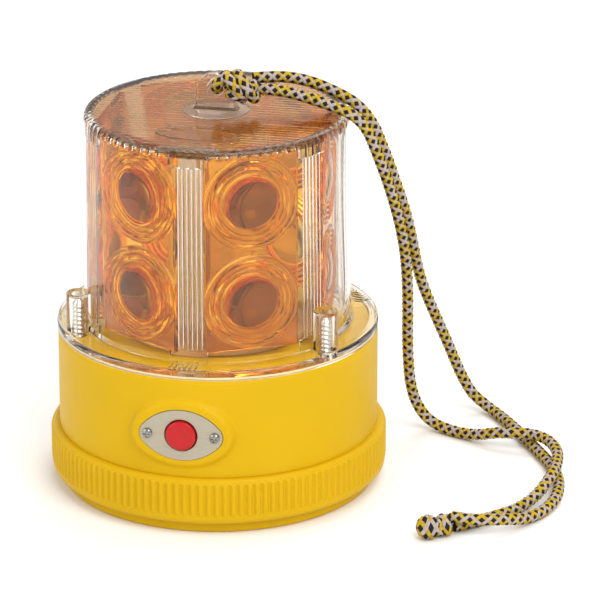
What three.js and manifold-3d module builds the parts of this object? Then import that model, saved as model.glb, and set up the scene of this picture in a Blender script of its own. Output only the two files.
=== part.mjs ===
// A battery-powered amber warning beacon: clear ribbed dome over six stepped lens panels, yellow
// housing with a push button, screw-off battery cover with a magnet, and a braided lanyard.
// Millimetres, +Z up. The origin is the centre of the underside and the button faces -Y.

import * as THREE from "three";
import { mergeVertices } from "three/addons/utils/BufferGeometryUtils.js";
import Module from "manifold-3d";

const wasm = await Module();
wasm.setup();

// ---------- Driving dimensions ----------

const GAP = 0.3; // clearance between faces that meet
const ROUND = 48; // facets around a large turned piece
const SMALL = 12; // facets around a fastener

// Battery cover, screwed on from below
const LIP_R = 55.8;
const LIP_TOP = 4.4;
const GRIP_R = 60;
const GRIP_TOP = 21;
const GRIP_RIBS = 66;
const GRIP_RIB_DEPTH = 0.8;
const GRIP_RIBS_LOW = LIP_TOP + 3.2;
const GRIP_RIBS_HIGH = GRIP_TOP - 1.6;
const THREAD_R = 54.1; // inside of the cover's skirt
const SEAL_SEAT = 19.4;
const SEAL_SECTION = [54.4, 56.4]; // inner and outer radius
const COVER_FLOOR_LOW = 1.2;
const COVER_FLOOR_HIGH = 3.8;

// Magnet in the pocket under the cover
const MAGNET_POCKET_R = 25;
const MAGNET_POCKET_ROOF = 7;
const MAGNET_POCKET_WALL = 2.5;
const MAGNET_CUP_R = 24.6;
const MAGNET_CUP_WALL = 1.8;
const MAGNET_CUP_LOW = 5; // underside of the cup's roof
const MAGNET_R = 22.4;
const MAGNET_HOLE_R = 6;
const MAGNET_SCREW_R = 1.7;
const MAGNET_SCREW_HOLE_R = 2.1;
const MAGNET_SCREW_HEAD_R = 3.4;
const MAGNET_SCREW_TOP = 11.6;

// Housing
const SHELL_R = 56.8;
const SHELL_BOTTOM = 21.4;
const COLLAR_R = 53.6;
const BORE_R = 51.2;
const COLLAR_BOTTOM = 8.5;
const DECK_TOP = 56.8;
const DECK_BOTTOM = 54;
const WIRE_HOLE_R = 9;
const DOME_SCREW_HOLE_R = 2.7;
const DOME_SCREW_POCKET_R = 3.5;
const DOME_SCREW_POCKET_DEPTH = 5;

// Push button in its oval bezel, which is two wide arcs with a small arc at each end
const BUTTON_Z = 37;
const BUTTON_R = 5.3;
const BUTTON_FLANGE = 0.8; // stands out from the button, behind the bezel
const BEZEL_HALF_LENGTH = 14.7;
const BEZEL_HALF_HEIGHT = 9.5;
const BEZEL_TIP_R = 3.6;
const BEZEL_THICKNESS = 1;
const PAD_FACE = 57.8; // distance of the pad's flat face from the lamp's axis
const PAD_HALF_LENGTH = 18;
const PAD_HALF_HEIGHT = 11.7;
const PAD_BACK = 50; // buried in the shell
const BEZEL_SCREW_X = 11.9;
const BEZEL_SCREW_R = 1;
const BEZEL_SCREW_HEAD_R = 1.75;
const BEZEL_SCREW_LENGTH = 4.6; // below the head
const BEZEL_SCREW_HOLE_END = 52.6; // from the lamp's axis
const BUTTON_BACK = 50.2; // the stem's end, from the lamp's axis
const BUTTON_STEM = 4.6;
const BUTTON_LENGTH = 9.4;
const STEM_R = 1.5;
const SWITCH_SIZE = [14, 10, 14];
const SWITCH_CENTRE = 45; // from the lamp's axis

// Clear dome
const FLANGE_R = 57;
const FLANGE_BOTTOM = 57.1;
const FLANGE_TOP = 60.6;
const DOME_R_LOW = 47.3;
const DOME_R_HIGH = 46.4;
const DOME_WALL = 2.4;
const DOME_TOP = 136.5;
const DOME_EDGE = 2.2; // rounding between wall and top
const COLUMNS = 6;
const COLUMN_ANGLE = 12.4; // degrees of the wall that one ribbed column covers
const HEADER_ANGLE = 16.4;
const HEADER_HEIGHT = 5.8;
const COLUMN_DEPTH = 0.5; // stands in from the wall
const TAB_FOOT_R = 12;
const TAB_FOOT_HEIGHT = 0.25;

// Hang tab on the dome
const TAB_WIDTH = 14.4;
const TAB_THICKNESS = 4.6;
const TAB_TOP = 149.8;
const TAB_HOLE_Z = 144.6;
const TAB_HOLE_R = 3;

// Screws that hold the dome down
const DOME_SCREW_PCD_R = 51;
const DOME_SCREW_ANGLES = [60, 180, 300]; // degrees from the button
const BOSS_R = 4.35;
const BOSS_TOP = 74.4;
const BOSS_BORE_R = 2.5;
const BOSS_CAP = 1.6;
const DOME_SCREW_R = 2.1;
const DOME_SCREW_HEAD_R = 3.2;
const DOME_SCREW_HEAD = 2.8;

// Amber lens panels and the lamp tower behind them
const PANEL_APOTHEM = 39.4; // outer face of a panel
const PANEL_THICKNESS = 2.2;
const PANEL_WIDTH = 33;
const PANEL_BOTTOM = 61.4;
const PANEL_TOP = 132.2;
const LENS_R = 16.2;
const LENS_STEP = 0.7; // stands out from the panel's face
const LENS_CORE = [[9.5, 1.6, 3.2], [6.5, 2.6, 5.6]]; // radius, and reach in front and behind
const LENS_Z = [79, 115];
const TOWER_APOTHEM = 14;
const TOWER_WALL = 2;
const TOWER_FOOT = [33, 2]; // radius and thickness
const TOWER_CAP = [18.5, 2.6];
const TOWER_BOTTOM = 57.1;
const TOWER_TOP = 127;
const LED_BOARD = [15, 1.2, 63.9];
const LED_BOARD_LOW = 59.3;
const LED_SIZE = [5, 1.8, 5];

// Batteries, two D cells side by side
const CELL_R = 16.5;
const CELL_LENGTH = 58.5;
const CELL_Z = 28.7;
const CELL_Y = 17.2;
const CELL_SHIFT = 1.4; // along the cell, away from its spring
const TERMINAL_R = 4.7;
const TERMINAL_HEIGHT = 1.5;
const CONTACT_PLATE = [9, 10, 0.5];
const CONTACT_PLATE_AT = 32; // along the cell from its middle
const SPRING_WIRE_R = 0.4;
const SPRING_TURNS = 2.5;
const SPRING_POINTS = 25;
const SPRING_WIDE_R = 6.5;
const SPRING_NARROW_R = 4.5;
const SPRING_START = -34.3;
const SPRING_LENGTH = 4.2;

// Battery tray and circuit board
const TRAY_R = 49.6;
const TRAY_LOW = 10;
const TRAY_HIGH = 11.6;
const TRAY_HALF_DEPTH = 35.2;
const TRAY_WALL_X = 34.6;
const TRAY_WALL = 1.6;
const TRAY_WALL_HEIGHT = 26;
const TRAY_WALL_LENGTH = 66;
const TRAY_RIB = [66, 1.2, 5];
const BOARD_R = 44;
const BOARD_LOW = 48.4;
const BOARD_HIGH = 50;
const BOARD_WIRE_HOLE_R = 2.5;
const BOARD_PARTS_HEIGHT = 3.3;
const INDUCTOR = { inner: 2.2, outer: 6, at: [18, 8, 0] };
const CAPACITOR = { radius: 4, at: [-16, 12, 0] };
const CHIP = { size: [8, 6, 1.6], at: [4, -16] };
const LEAD_R = 0.8;
const LEAD_RED = [
  [31, -8, 47.7], [31.3, -8, 45.8], [37.6, -8, 42], [39.5, -10, 36], [38.5, -14, 31],
];

// Lanyard: one cord doubled through the tab, with a knot at each end
const CORD_R = 2;
const CORD_SIDES = 8;
const CORD_STEP = 9; // length of one straight piece of the tube
const TAB_LOOP_R = 5.4;
const TAB_LOOP_X = 4.6;
const KNOT_CORD_R = 1.9;
const KNOT_LUMPS = [ // half size, and centre with its height above the tab's hole
  { size: [5.2, 6.2, 6], at: [6.4, -3.6, 1] },
  { size: [3.4, 6.2, 5.6], at: [8.4, 1.6, 0.6] },
];
const END_BALL_R = 4.3;
const END_BALL = [84.2, -44.4, 4.35];
const END_NECK_R = 3.9;
const END_NECK = [84.6, -42, 4.35];
const END_NECK_LENGTH = 6.6;
const END_NECK_TURN = 0.35; // radians from +X
const STRAND_A = [
  [12.4, 2, 143.8], [16.5, 1.9, 144.2], [21, 1.8, 144.1], [26, 1.7, 143.5], [31, 1.4, 142.5],
  [36.5, 0.9, 141.3], [41.5, 0.4, 140], [45.5, 0.4, 138.6], [48.8, 1, 136.6], [51.4, 2.2, 133.7],
  [53.3, 3.7, 130], [55, 5.7, 124.6], [56.4, 7.9, 119.2], [58.2, 10.8, 112], [60.2, 14.7, 102.3],
  [61.9, 19, 91.5], [62.8, 23.6, 80.5], [62.9, 28.6, 68.5], [62.3, 34, 55], [61.4, 39.2, 42],
  [61, 43.8, 29.8], [61.4, 47.2, 19.5], [62.8, 49.9, 12], [65.8, 51.3, 6.2], [70.3, 50.7, 3],
  [75.5, 48.4, 2.2], [81.5, 45.7, 2.3], [88, 42.7, 3.6], [94.5, 40.5, 5.7], [101, 39.7, 6.5],
  [108.3, 39.6, 6.5], [114.5, 35, 6.5], [118.8, 26, 6.5], [120.4, 14, 6.5], [119.8, 2, 6.4],
  [117, -7.5, 4.2], [112.4, -15.8, 2.4], [106, -24, 2.2], [99, -31, 2.2], [92, -37.4, 2.2],
];
const STRAND_B = [
  [12, 5, 146.9], [15.5, 6.6, 147], [20.4, 8.8, 146.8], [25.6, 10.8, 146], [31, 12.2, 144.6],
  [37, 13, 142.3], [42.5, 13.8, 139.6], [46.6, 14.6, 136.8], [50, 16.2, 132.6], [52.8, 18.3, 127.1],
  [54.6, 20.7, 120.9], [56.5, 23.7, 113.7], [58.4, 27.4, 105], [60.3, 31.5, 96], [61.7, 35.8, 87],
  [62.6, 40.2, 78], [63.4, 45.2, 68], [64.7, 50.4, 58], [66.8, 55.4, 48.6], [69.4, 60.4, 38.8],
  [72, 65, 29.4], [74.4, 69, 20.6], [77, 71.8, 13], [80.4, 73, 7], [85, 72, 3.6],
  [89.8, 68, 2.3], [94.5, 61.6, 2.2], [99.2, 54.5, 2.2], [105.6, 43.8, 2.2], [111.6, 33.6, 2.2],
  [116.8, 24, 2.2], [120.7, 14, 2.2], [122.9, 2.6, 2.2], [122.7, -9.2, 2.2], [119.6, -19.5, 2.2],
  [114.8, -28, 3.2], [109, -35, 5.4], [103, -39, 6.5], [97, -39.6, 6.5], [91.6, -38.6, 6.5],
];

// ---------- Finishes ----------

const finish = (color, roughness, metalness = 0) => ({ color, roughness, metalness });
const YELLOW = finish(0xf0bd1c, 0.38);
const CLEAR = finish(0xd9cbb4, 0.08);
const AMBER = finish(0xf08a12, 0.12);
const STEEL = finish(0xb9b6ae, 0.3, 1);
const SATIN = finish(0xbeb7aa, 0.35, 0.6);
const RED = finish(0xd01414, 0.3);
const BLACK = finish(0x1c1c1e, 0.6);
const WHITE = finish(0xe6e2d6, 0.5);
const BOARD = finish(0x2f5f3a, 0.5);
const LED_YELLOW = finish(0xf2d24a, 0.3);
const GREY = finish(0x8c8678, 0.5);
const BRASS = finish(0xc9a24a, 0.3, 1);
const BRAID = finish(0xb9a02c, 0.8);
const RUBBER = finish(0x26221f, 0.8);
const WIRE_RED = finish(0xb42018, 0.5);

// ---------- Solid helpers ----------

function solid(geometry) {
  const bare = geometry.clone();
  bare.deleteAttribute("normal");
  bare.deleteAttribute("uv");
  const merged = mergeVertices(bare, 1e-4);
  return new wasm.Manifold(
    new wasm.Mesh({
      numProp: 3,
      vertProperties: new Float32Array(merged.attributes.position.array),
      triVerts: new Uint32Array(merged.index.array),
    }),
  );
}

function geometryOf(manifold) {
  const mesh = manifold.getMesh();
  const geometry = new THREE.BufferGeometry();
  geometry.setAttribute("position", new THREE.BufferAttribute(mesh.vertProperties, 3));
  geometry.setIndex(new THREE.BufferAttribute(mesh.triVerts, 1));
  geometry.computeVertexNormals();
  return geometry;
}

// First geometry, plus every geometry in `added`, less every geometry in `cut`.
function combine(base, added, cut = []) {
  const joined = added.reduce((all, piece) => all.add(solid(piece)), solid(base));
  return geometryOf(cut.reduce((rest, piece) => rest.subtract(solid(piece)), joined));
}

// Turned solid about Z. The profile of [radius, height] points runs anticlockwise: out along the
// bottom, up the outside and back. A profile clear of the axis is closed here.
function turned(profile, segments = ROUND) {
  const points = profile.map(([r, z]) => new THREE.Vector2(r, z));
  const first = points[0];
  if (first.x > 0) points.push(first.clone());
  return new THREE.LatheGeometry(points, segments).rotateX(Math.PI / 2);
}

const disc = (radius, low, high, segments = SMALL) =>
  turned([[0, low], [radius, low], [radius, high], [0, high]], segments);

const ring = (inner, outer, low, high, segments = ROUND) =>
  turned([[inner, low], [outer, low], [outer, high], [inner, high]], segments);

function box(width, depth, height, x, y, z) {
  return new THREE.BoxGeometry(width, depth, height).translate(x, y, z);
}

// Outline in X and Z, extruded along Y from `front` to `back`.
function plate(outline, front, back, curveSegments = 16) {
  const options = { depth: back - front, bevelEnabled: false, curveSegments };
  return new THREE.ExtrudeGeometry(outline, options).rotateX(Math.PI / 2).translate(0, back, 0);
}

// Cylinder along Y between two distances from the axis, at a place in X and Z.
function crossRod(radius, front, back, x, z, segments = SMALL) {
  return disc(radius, 0, back - front, segments).rotateX(-Math.PI / 2).translate(x, front, z);
}

// Direction in plan of an angle measured from the button's side, towards +X.
function facing(degrees) {
  const angle = THREE.MathUtils.degToRad(degrees);
  return new THREE.Vector3(Math.sin(angle), -Math.cos(angle), 0);
}

const spin = (geometry, degrees) => geometry.rotateZ(THREE.MathUtils.degToRad(degrees));

// Block that follows the dome's wall, centred on the button's side.
function wallBlock(angle, inner, outer, low, high) {
  const half = THREE.MathUtils.degToRad(angle / 2);
  const middle = -Math.PI / 2;
  const shape = new THREE.Shape();
  shape.absarc(0, 0, outer, middle - half, middle + half, false);
  shape.absarc(0, 0, inner, middle + half, middle - half, true);
  const options = { depth: high - low, bevelEnabled: false, curveSegments: 2 };
  return new THREE.ExtrudeGeometry(shape, options).translate(0, 0, low);
}

// Tube along a smooth curve through the points.
function tube(points, radius, sides, step) {
  const curve = new THREE.CatmullRomCurve3(points.map((p) => new THREE.Vector3(...p)));
  const section = new THREE.Shape(
    Array.from({ length: sides }, (_, i) => {
      const angle = (2 * Math.PI * i) / sides;
      return new THREE.Vector2(radius * Math.cos(angle), radius * Math.sin(angle));
    }),
  );
  const steps = Math.ceil(curve.getLength() / step);
  return new THREE.ExtrudeGeometry(section, { steps, extrudePath: curve, bevelEnabled: false });
}

const lamp = new THREE.Group();

function add(name, geometry, look, parent = lamp) {
  const mesh = new THREE.Mesh(geometry, new THREE.MeshStandardMaterial(look));
  mesh.name = name;
  parent.add(mesh);
  return mesh;
}

// ---------- Battery cover and magnet ----------

function gripRing() {
  const buried = GRIP_R - 2; // inside the cover's skirt
  const outline = new THREE.Shape(
    Array.from({ length: 2 * GRIP_RIBS }, (_, i) => {
      const angle = (Math.PI * i) / GRIP_RIBS;
      const radius = i % 2 ? GRIP_R : GRIP_R - GRIP_RIB_DEPTH;
      return new THREE.Vector2(radius * Math.cos(angle), radius * Math.sin(angle));
    }),
  );
  const middle = new THREE.Path();
  middle.absarc(0, 0, buried, 0, 2 * Math.PI, true);
  outline.holes.push(middle);
  const depth = GRIP_RIBS_HIGH - GRIP_RIBS_LOW;
  const options = { depth, bevelEnabled: false, curveSegments: ROUND / 2 };
  return new THREE.ExtrudeGeometry(outline, options).translate(0, 0, GRIP_RIBS_LOW);
}

function batteryCover() {
  const skin = GRIP_R - GRIP_RIB_DEPTH;
  const lipInside = LIP_R - 4;
  const mouth = SHELL_R + 0.1;
  const pocketOutside = MAGNET_POCKET_R + MAGNET_POCKET_WALL;
  const pocketTop = MAGNET_POCKET_ROOF + 2.4;
  const body = turned([
    [0, MAGNET_POCKET_ROOF], [MAGNET_POCKET_R, MAGNET_POCKET_ROOF],
    [MAGNET_POCKET_R, COVER_FLOOR_LOW], [lipInside, COVER_FLOOR_LOW], [lipInside, 0], [LIP_R, 0],
    [LIP_R, LIP_TOP], [skin, LIP_TOP], [skin, GRIP_TOP - 1.2], [GRIP_R - 2.2, GRIP_TOP],
    [mouth, GRIP_TOP], [mouth, SEAL_SEAT], [THREAD_R, SEAL_SEAT], [THREAD_R, COVER_FLOOR_HIGH],
    [pocketOutside, COVER_FLOOR_HIGH], [pocketOutside, pocketTop], [0, pocketTop],
  ]);
  return combine(body, [gripRing()], [disc(MAGNET_SCREW_HOLE_R, 0, pocketTop + 1)]);
}

function magnetCup() {
  const inside = MAGNET_CUP_R - MAGNET_CUP_WALL;
  const top = MAGNET_CUP_LOW + 1.6;
  return turned([
    [MAGNET_SCREW_HOLE_R, MAGNET_CUP_LOW], [inside, MAGNET_CUP_LOW], [inside, 0],
    [MAGNET_CUP_R, 0], [MAGNET_CUP_R, top], [MAGNET_SCREW_HOLE_R, top],
  ], 32);
}

function magnetScrew() {
  const headLow = 2.6;
  const headTop = MAGNET_CUP_LOW - GAP;
  return turned([
    [0, headLow], [MAGNET_SCREW_HEAD_R, headLow], [MAGNET_SCREW_HEAD_R, headTop],
    [MAGNET_SCREW_R, headTop], [MAGNET_SCREW_R, MAGNET_SCREW_TOP], [0, MAGNET_SCREW_TOP],
  ], SMALL);
}

// Hexagonal nut on the magnet screw, above the pocket's roof.
function magnetNut() {
  const low = MAGNET_POCKET_ROOF + 2.7;
  const bore = disc(MAGNET_SCREW_R + GAP, low - 1, low + 4);
  return combine(disc(3.5, low, low + 2.3, 6), [], [bore]);
}

function makeCover() {
  add("battery_cover", batteryCover(), YELLOW);
  add("cover_seal", ring(...SEAL_SECTION, SEAL_SEAT + GAP, GRIP_TOP, 36), RUBBER);
  add("magnet_cup", magnetCup(), STEEL);
  add("magnet_ring", ring(MAGNET_HOLE_R, MAGNET_R, 0.4, MAGNET_CUP_LOW - GAP, 32), BLACK);
  add("magnet_screw", magnetScrew(), STEEL);
  add("magnet_nut", magnetNut(), STEEL);
}

// ---------- Housing and switch ----------

// Outline of the bezel, or of its pocket when grown. The wide arcs touch the small ones smoothly.
function bezelOutline(grow = 0) {
  const halfHeight = BEZEL_HALF_HEIGHT + grow;
  const tip = BEZEL_TIP_R + grow;
  const tipX = BEZEL_HALF_LENGTH - BEZEL_TIP_R;
  const radius = (tipX ** 2 + halfHeight ** 2 - tip ** 2) / (2 * (halfHeight - tip));
  const centre = radius - halfHeight;
  const reach = Math.atan2(tipX, centre);
  const up = Math.PI / 2;
  const shape = new THREE.Shape();
  shape.absarc(tipX, 0, tip, reach - up, up - reach, false);
  shape.absarc(0, -centre, radius, up - reach, up + reach, false);
  shape.absarc(-tipX, 0, tip, up + reach, 3 * up - reach, false);
  shape.absarc(0, centre, radius, 3 * up - reach, 3 * up + reach, false);
  return shape;
}

function oval(halfLength, halfHeight) {
  const shape = new THREE.Shape();
  shape.absellipse(0, 0, halfLength, halfHeight, 0, 2 * Math.PI, false);
  return shape;
}

function housing() {
  const shell = turned([
    [BORE_R, COLLAR_BOTTOM], [COLLAR_R, COLLAR_BOTTOM], [COLLAR_R, SHELL_BOTTOM],
    [SHELL_R, SHELL_BOTTOM], [SHELL_R, DECK_TOP - 1], [SHELL_R - 1, DECK_TOP],
    [WIRE_HOLE_R, DECK_TOP], [WIRE_HOLE_R, DECK_BOTTOM], [BORE_R, DECK_BOTTOM],
  ]);
  const pad = plate(oval(PAD_HALF_LENGTH, PAD_HALF_HEIGHT), -PAD_FACE, -PAD_BACK)
    .translate(0, 0, BUTTON_Z);
  const room = disc(BORE_R, COLLAR_BOTTOM - 1, DECK_BOTTOM, ROUND);
  const pocket = plate(
    bezelOutline(GAP),
    -PAD_FACE - 1,
    -PAD_FACE + BEZEL_THICKNESS,
    8,
  ).translate(0, 0, BUTTON_Z);
  const buttonRoom = BUTTON_R + BUTTON_FLANGE + 0.5;
  const cuts = [room, pocket, crossRod(buttonRoom, -PAD_FACE - 1, -SWITCH_CENTRE, 0, BUTTON_Z, 20)];
  for (const side of [-1, 1]) {
    const hole = BEZEL_SCREW_R + GAP;
    const x = side * BEZEL_SCREW_X;
    cuts.push(crossRod(hole, -PAD_FACE, -BEZEL_SCREW_HOLE_END, x, BUTTON_Z, 8));
  }
  for (const angle of DOME_SCREW_ANGLES) {
    const place = facing(angle).multiplyScalar(DOME_SCREW_PCD_R);
    const hole = disc(DOME_SCREW_HOLE_R, DECK_BOTTOM - 1, DECK_TOP + 1);
    const headRoom = disc(DOME_SCREW_POCKET_R, DECK_BOTTOM - DOME_SCREW_POCKET_DEPTH, DECK_BOTTOM);
    cuts.push(hole.translate(place.x, place.y, 0), headRoom.translate(place.x, place.y, 0));
  }
  return combine(shell, [pad], cuts);
}

function bezel(front) {
  const back = -PAD_FACE + BEZEL_THICKNESS - GAP / 2;
  const sheet = plate(bezelOutline(), front, back, 8).translate(0, 0, BUTTON_Z);
  const holes = [crossRod(BUTTON_R + 0.5, front - 1, back + 1, 0, BUTTON_Z, 20)];
  for (const side of [-1, 1]) {
    const x = side * BEZEL_SCREW_X;
    holes.push(crossRod(BEZEL_SCREW_R + 0.4, front - 1, back + 1, x, BUTTON_Z, 8));
  }
  return combine(sheet, [], holes);
}

// Self-tapping screw along Y, with its low domed head towards -Y.
function bezelScrew() {
  const length = BEZEL_SCREW_LENGTH;
  const head = BEZEL_SCREW_HEAD_R;
  const profile = [
    [0, 0], [BEZEL_SCREW_R, 0], [BEZEL_SCREW_R, length], [head, length], [head, length + 0.4],
    [head - 0.45, length + 0.9], [0, length + 1],
  ];
  return turned(profile, SMALL).rotateX(Math.PI / 2);
}

// Domed push button with a stem behind it and a flange that the bezel holds in.
function button() {
  const flange = BUTTON_R + BUTTON_FLANGE;
  const flangeTop = BUTTON_STEM + 1.2;
  const profile = [
    [0, 0], [STEM_R, 0], [STEM_R, BUTTON_STEM], [flange, BUTTON_STEM], [flange, flangeTop],
    [BUTTON_R, flangeTop], [BUTTON_R, BUTTON_LENGTH - 1], [BUTTON_R - 0.6, BUTTON_LENGTH - 0.4],
    [BUTTON_R - 2, BUTTON_LENGTH - 0.1], [0, BUTTON_LENGTH],
  ];
  return turned(profile, 20).rotateX(Math.PI / 2).translate(0, -BUTTON_BACK, BUTTON_Z);
}

function switchBody() {
  const body = box(...SWITCH_SIZE, 0, -SWITCH_CENTRE, BUTTON_Z);
  const bush = crossRod(STEM_R + 3, -BUTTON_BACK - 2.6, -49, 0, BUTTON_Z);
  const bore = crossRod(STEM_R + GAP, -BUTTON_BACK - 2.8, -SWITCH_CENTRE, 0, BUTTON_Z);
  return combine(body, [bush], [bore]);
}

function makeSwitch() {
  const bezelFront = -PAD_FACE - 0.2;
  add("switch_bezel", bezel(bezelFront), SATIN);
  for (const [name, side] of [["bezel_screw_left", -1], ["bezel_screw_right", 1]]) {
    const screw = add(name, bezelScrew(), STEEL);
    const end = bezelFront - GAP + BEZEL_SCREW_LENGTH;
    screw.position.set(side * BEZEL_SCREW_X, end, BUTTON_Z);
  }
  add("switch_button", button(), RED);
  add("switch_body", switchBody(), BLACK);
}

// ---------- Batteries, tray and circuit board ----------

// Floor with a wall at each end of the cells and a rib between them.
function tray() {
  const wallX = [-TRAY_WALL_X, TRAY_WALL_X];
  const wallMiddle = TRAY_LOW + 1 + TRAY_WALL_HEIGHT / 2;
  const walls = wallX.map((x) => {
    return box(TRAY_WALL, TRAY_WALL_LENGTH, TRAY_WALL_HEIGHT, x, 0, wallMiddle);
  });
  const rib = box(...TRAY_RIB, 0, 0, TRAY_HIGH + 1.9);
  const trimDepth = 40;
  const trimY = TRAY_HALF_DEPTH + trimDepth / 2;
  const trims = [-trimY, trimY].map((y) => box(120, trimDepth, 40, 0, y, 20));
  const screwRoom = disc(6, TRAY_LOW - 1, TRAY_LOW + 7);
  return combine(disc(TRAY_R, TRAY_LOW, TRAY_HIGH, 48), [...walls, rib], [screwRoom, ...trims]);
}

function cell() {
  return turned([
    [0, 0], [CELL_R - 3, 0], [CELL_R, 0.8], [CELL_R, CELL_LENGTH - 1.2],
    [CELL_R - 1.2, CELL_LENGTH], [TERMINAL_R, CELL_LENGTH],
    [TERMINAL_R, CELL_LENGTH + TERMINAL_HEIGHT], [0, CELL_LENGTH + TERMINAL_HEIGHT],
  ], 20).translate(0, 0, -CELL_LENGTH / 2);
}

function contactSpring() {
  const coil = Array.from({ length: SPRING_POINTS + 1 }, (_, i) => {
    const share = i / SPRING_POINTS;
    const angle = 2 * Math.PI * SPRING_TURNS * share;
    const radius = THREE.MathUtils.lerp(SPRING_WIDE_R, SPRING_NARROW_R, share);
    const along = SPRING_START + SPRING_LENGTH * share;
    return [radius * Math.cos(angle), radius * Math.sin(angle), along];
  });
  return tube(coil, SPRING_WIRE_R, 5, 3);
}

function makeBoard() {
  const partsLow = BOARD_HIGH + GAP;
  const partsHigh = partsLow + BOARD_PARTS_HEIGHT;
  const wireHole = disc(BOARD_WIRE_HOLE_R, BOARD_LOW - 1, BOARD_HIGH + 1);
  add("main_board", combine(disc(BOARD_R, BOARD_LOW, BOARD_HIGH, 48), [], [wireHole]), BOARD);
  const inductor = ring(INDUCTOR.inner, INDUCTOR.outer, partsLow, partsHigh, 16);
  add("board_inductor", inductor.translate(...INDUCTOR.at), GREY);
  const capacitor = disc(CAPACITOR.radius, partsLow, partsHigh, 16);
  add("board_capacitor", capacitor.translate(...CAPACITOR.at), BLACK);
  add("board_chip", box(...CHIP.size, ...CHIP.at, partsLow + CHIP.size[2] / 2), BLACK);
}

function makePower() {
  add("battery_tray", tray(), BLACK);
  for (const [name, side] of [["front", -1], ["rear", 1]]) {
    const along = new THREE.Group();
    along.position.set(side * CELL_SHIFT, side * CELL_Y, CELL_Z);
    along.rotation.y = (side * Math.PI) / 2;
    lamp.add(along);
    add(`battery_${name}`, cell(), GREY, along);
    add(`contact_plate_${name}`, box(...CONTACT_PLATE, 0, 0, CONTACT_PLATE_AT), BRASS, along);
    add(`contact_spring_${name}`, contactSpring(), STEEL, along);
  }
  makeBoard();
  const opposite = LEAD_RED.map(([x, y, z]) => [-x, -y, z]);
  add("battery_lead_red", tube(LEAD_RED, LEAD_R, 6, 3), WIRE_RED);
  add("battery_lead_black", tube(opposite, LEAD_R, 6, 3), BLACK);
}

// ---------- Lamp tower and lens panels ----------

function hexagon(apothem) {
  const corner = apothem / Math.cos(Math.PI / COLUMNS);
  return Array.from({ length: COLUMNS }, (_, i) => {
    const place = facing((360 * i) / COLUMNS).multiplyScalar(corner);
    return new THREE.Vector2(place.x, place.y);
  });
}

function tower() {
  const outline = new THREE.Shape(hexagon(TOWER_APOTHEM));
  const options = { depth: TOWER_TOP - TOWER_BOTTOM, bevelEnabled: false };
  const column = new THREE.ExtrudeGeometry(outline, options).translate(0, 0, TOWER_BOTTOM);
  const inside = new THREE.Shape(hexagon(TOWER_APOTHEM - TOWER_WALL));
  const hollow = new THREE.ExtrudeGeometry(inside, options)
    .translate(0, 0, TOWER_BOTTOM - TOWER_WALL);
  const [footR, footHeight] = TOWER_FOOT;
  const [capR, capHeight] = TOWER_CAP;
  const foot = disc(footR, TOWER_BOTTOM, TOWER_BOTTOM + footHeight, 36);
  const cap = disc(capR, TOWER_TOP - 1, TOWER_TOP - 1 + capHeight, 36);
  return combine(column, [foot, cap], [hollow]);
}

function lensPanel() {
  const back = -PANEL_APOTHEM + PANEL_THICKNESS;
  const height = PANEL_TOP - PANEL_BOTTOM;
  const middle = (PANEL_TOP + PANEL_BOTTOM) / 2;
  const sheet = box(PANEL_WIDTH, PANEL_THICKNESS, height, 0, back - PANEL_THICKNESS / 2, middle);
  const steps = [];
  for (const z of LENS_Z) {
    steps.push(crossRod(LENS_R, -PANEL_APOTHEM - LENS_STEP, back, 0, z, 16));
    for (const [radius, front, behind] of LENS_CORE) {
      steps.push(crossRod(radius, -PANEL_APOTHEM - front, back + behind, 0, z));
    }
  }
  return combine(sheet, steps);
}

function makeLamps() {
  add("led_tower", tower(), WHITE);
  for (let i = 0; i < COLUMNS; i += 1) {
    const angle = (360 / COLUMNS) * (i + 0.5);
    const number = i + 1;
    const [, boardThickness, boardLength] = LED_BOARD;
    const boardFace = TOWER_APOTHEM + GAP + boardThickness;
    const boardMiddle = [0, -boardFace + boardThickness / 2, LED_BOARD_LOW + boardLength / 2];
    add(`led_board_${number}`, spin(box(...LED_BOARD, ...boardMiddle), angle), WHITE);
    LENS_Z.forEach((z, row) => {
      const led = box(...LED_SIZE, 0, -boardFace - GAP - LED_SIZE[1] / 2, z);
      add(`led_${row ? "upper" : "lower"}_${number}`, spin(led, angle), LED_YELLOW);
    });
    add(`lens_panel_${number}`, spin(lensPanel(), angle), AMBER);
  }
}

// ---------- Clear dome ----------

function domeShell() {
  const arcSteps = [0, 30, 60, 90].map((degrees) => {
    const angle = THREE.MathUtils.degToRad(degrees);
    const centre = [DOME_R_HIGH - DOME_EDGE, DOME_TOP - DOME_EDGE];
    return [centre[0] + DOME_EDGE * Math.cos(angle), centre[1] + DOME_EDGE * Math.sin(angle)];
  });
  return turned([
    [0, DOME_TOP - DOME_WALL], [DOME_R_HIGH - DOME_WALL, DOME_TOP - DOME_WALL],
    [DOME_R_LOW - DOME_WALL, FLANGE_BOTTOM + 1], [FLANGE_R - 1.2, FLANGE_BOTTOM + 1],
    [FLANGE_R - 1.2, FLANGE_BOTTOM], [FLANGE_R, FLANGE_BOTTOM], [FLANGE_R, FLANGE_TOP - 0.8],
    [FLANGE_R - 0.8, FLANGE_TOP], [DOME_R_LOW + 0.6, FLANGE_TOP], [DOME_R_LOW, FLANGE_TOP + 0.6],
    ...arcSteps, [0, DOME_TOP],
  ]);
}

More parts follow.
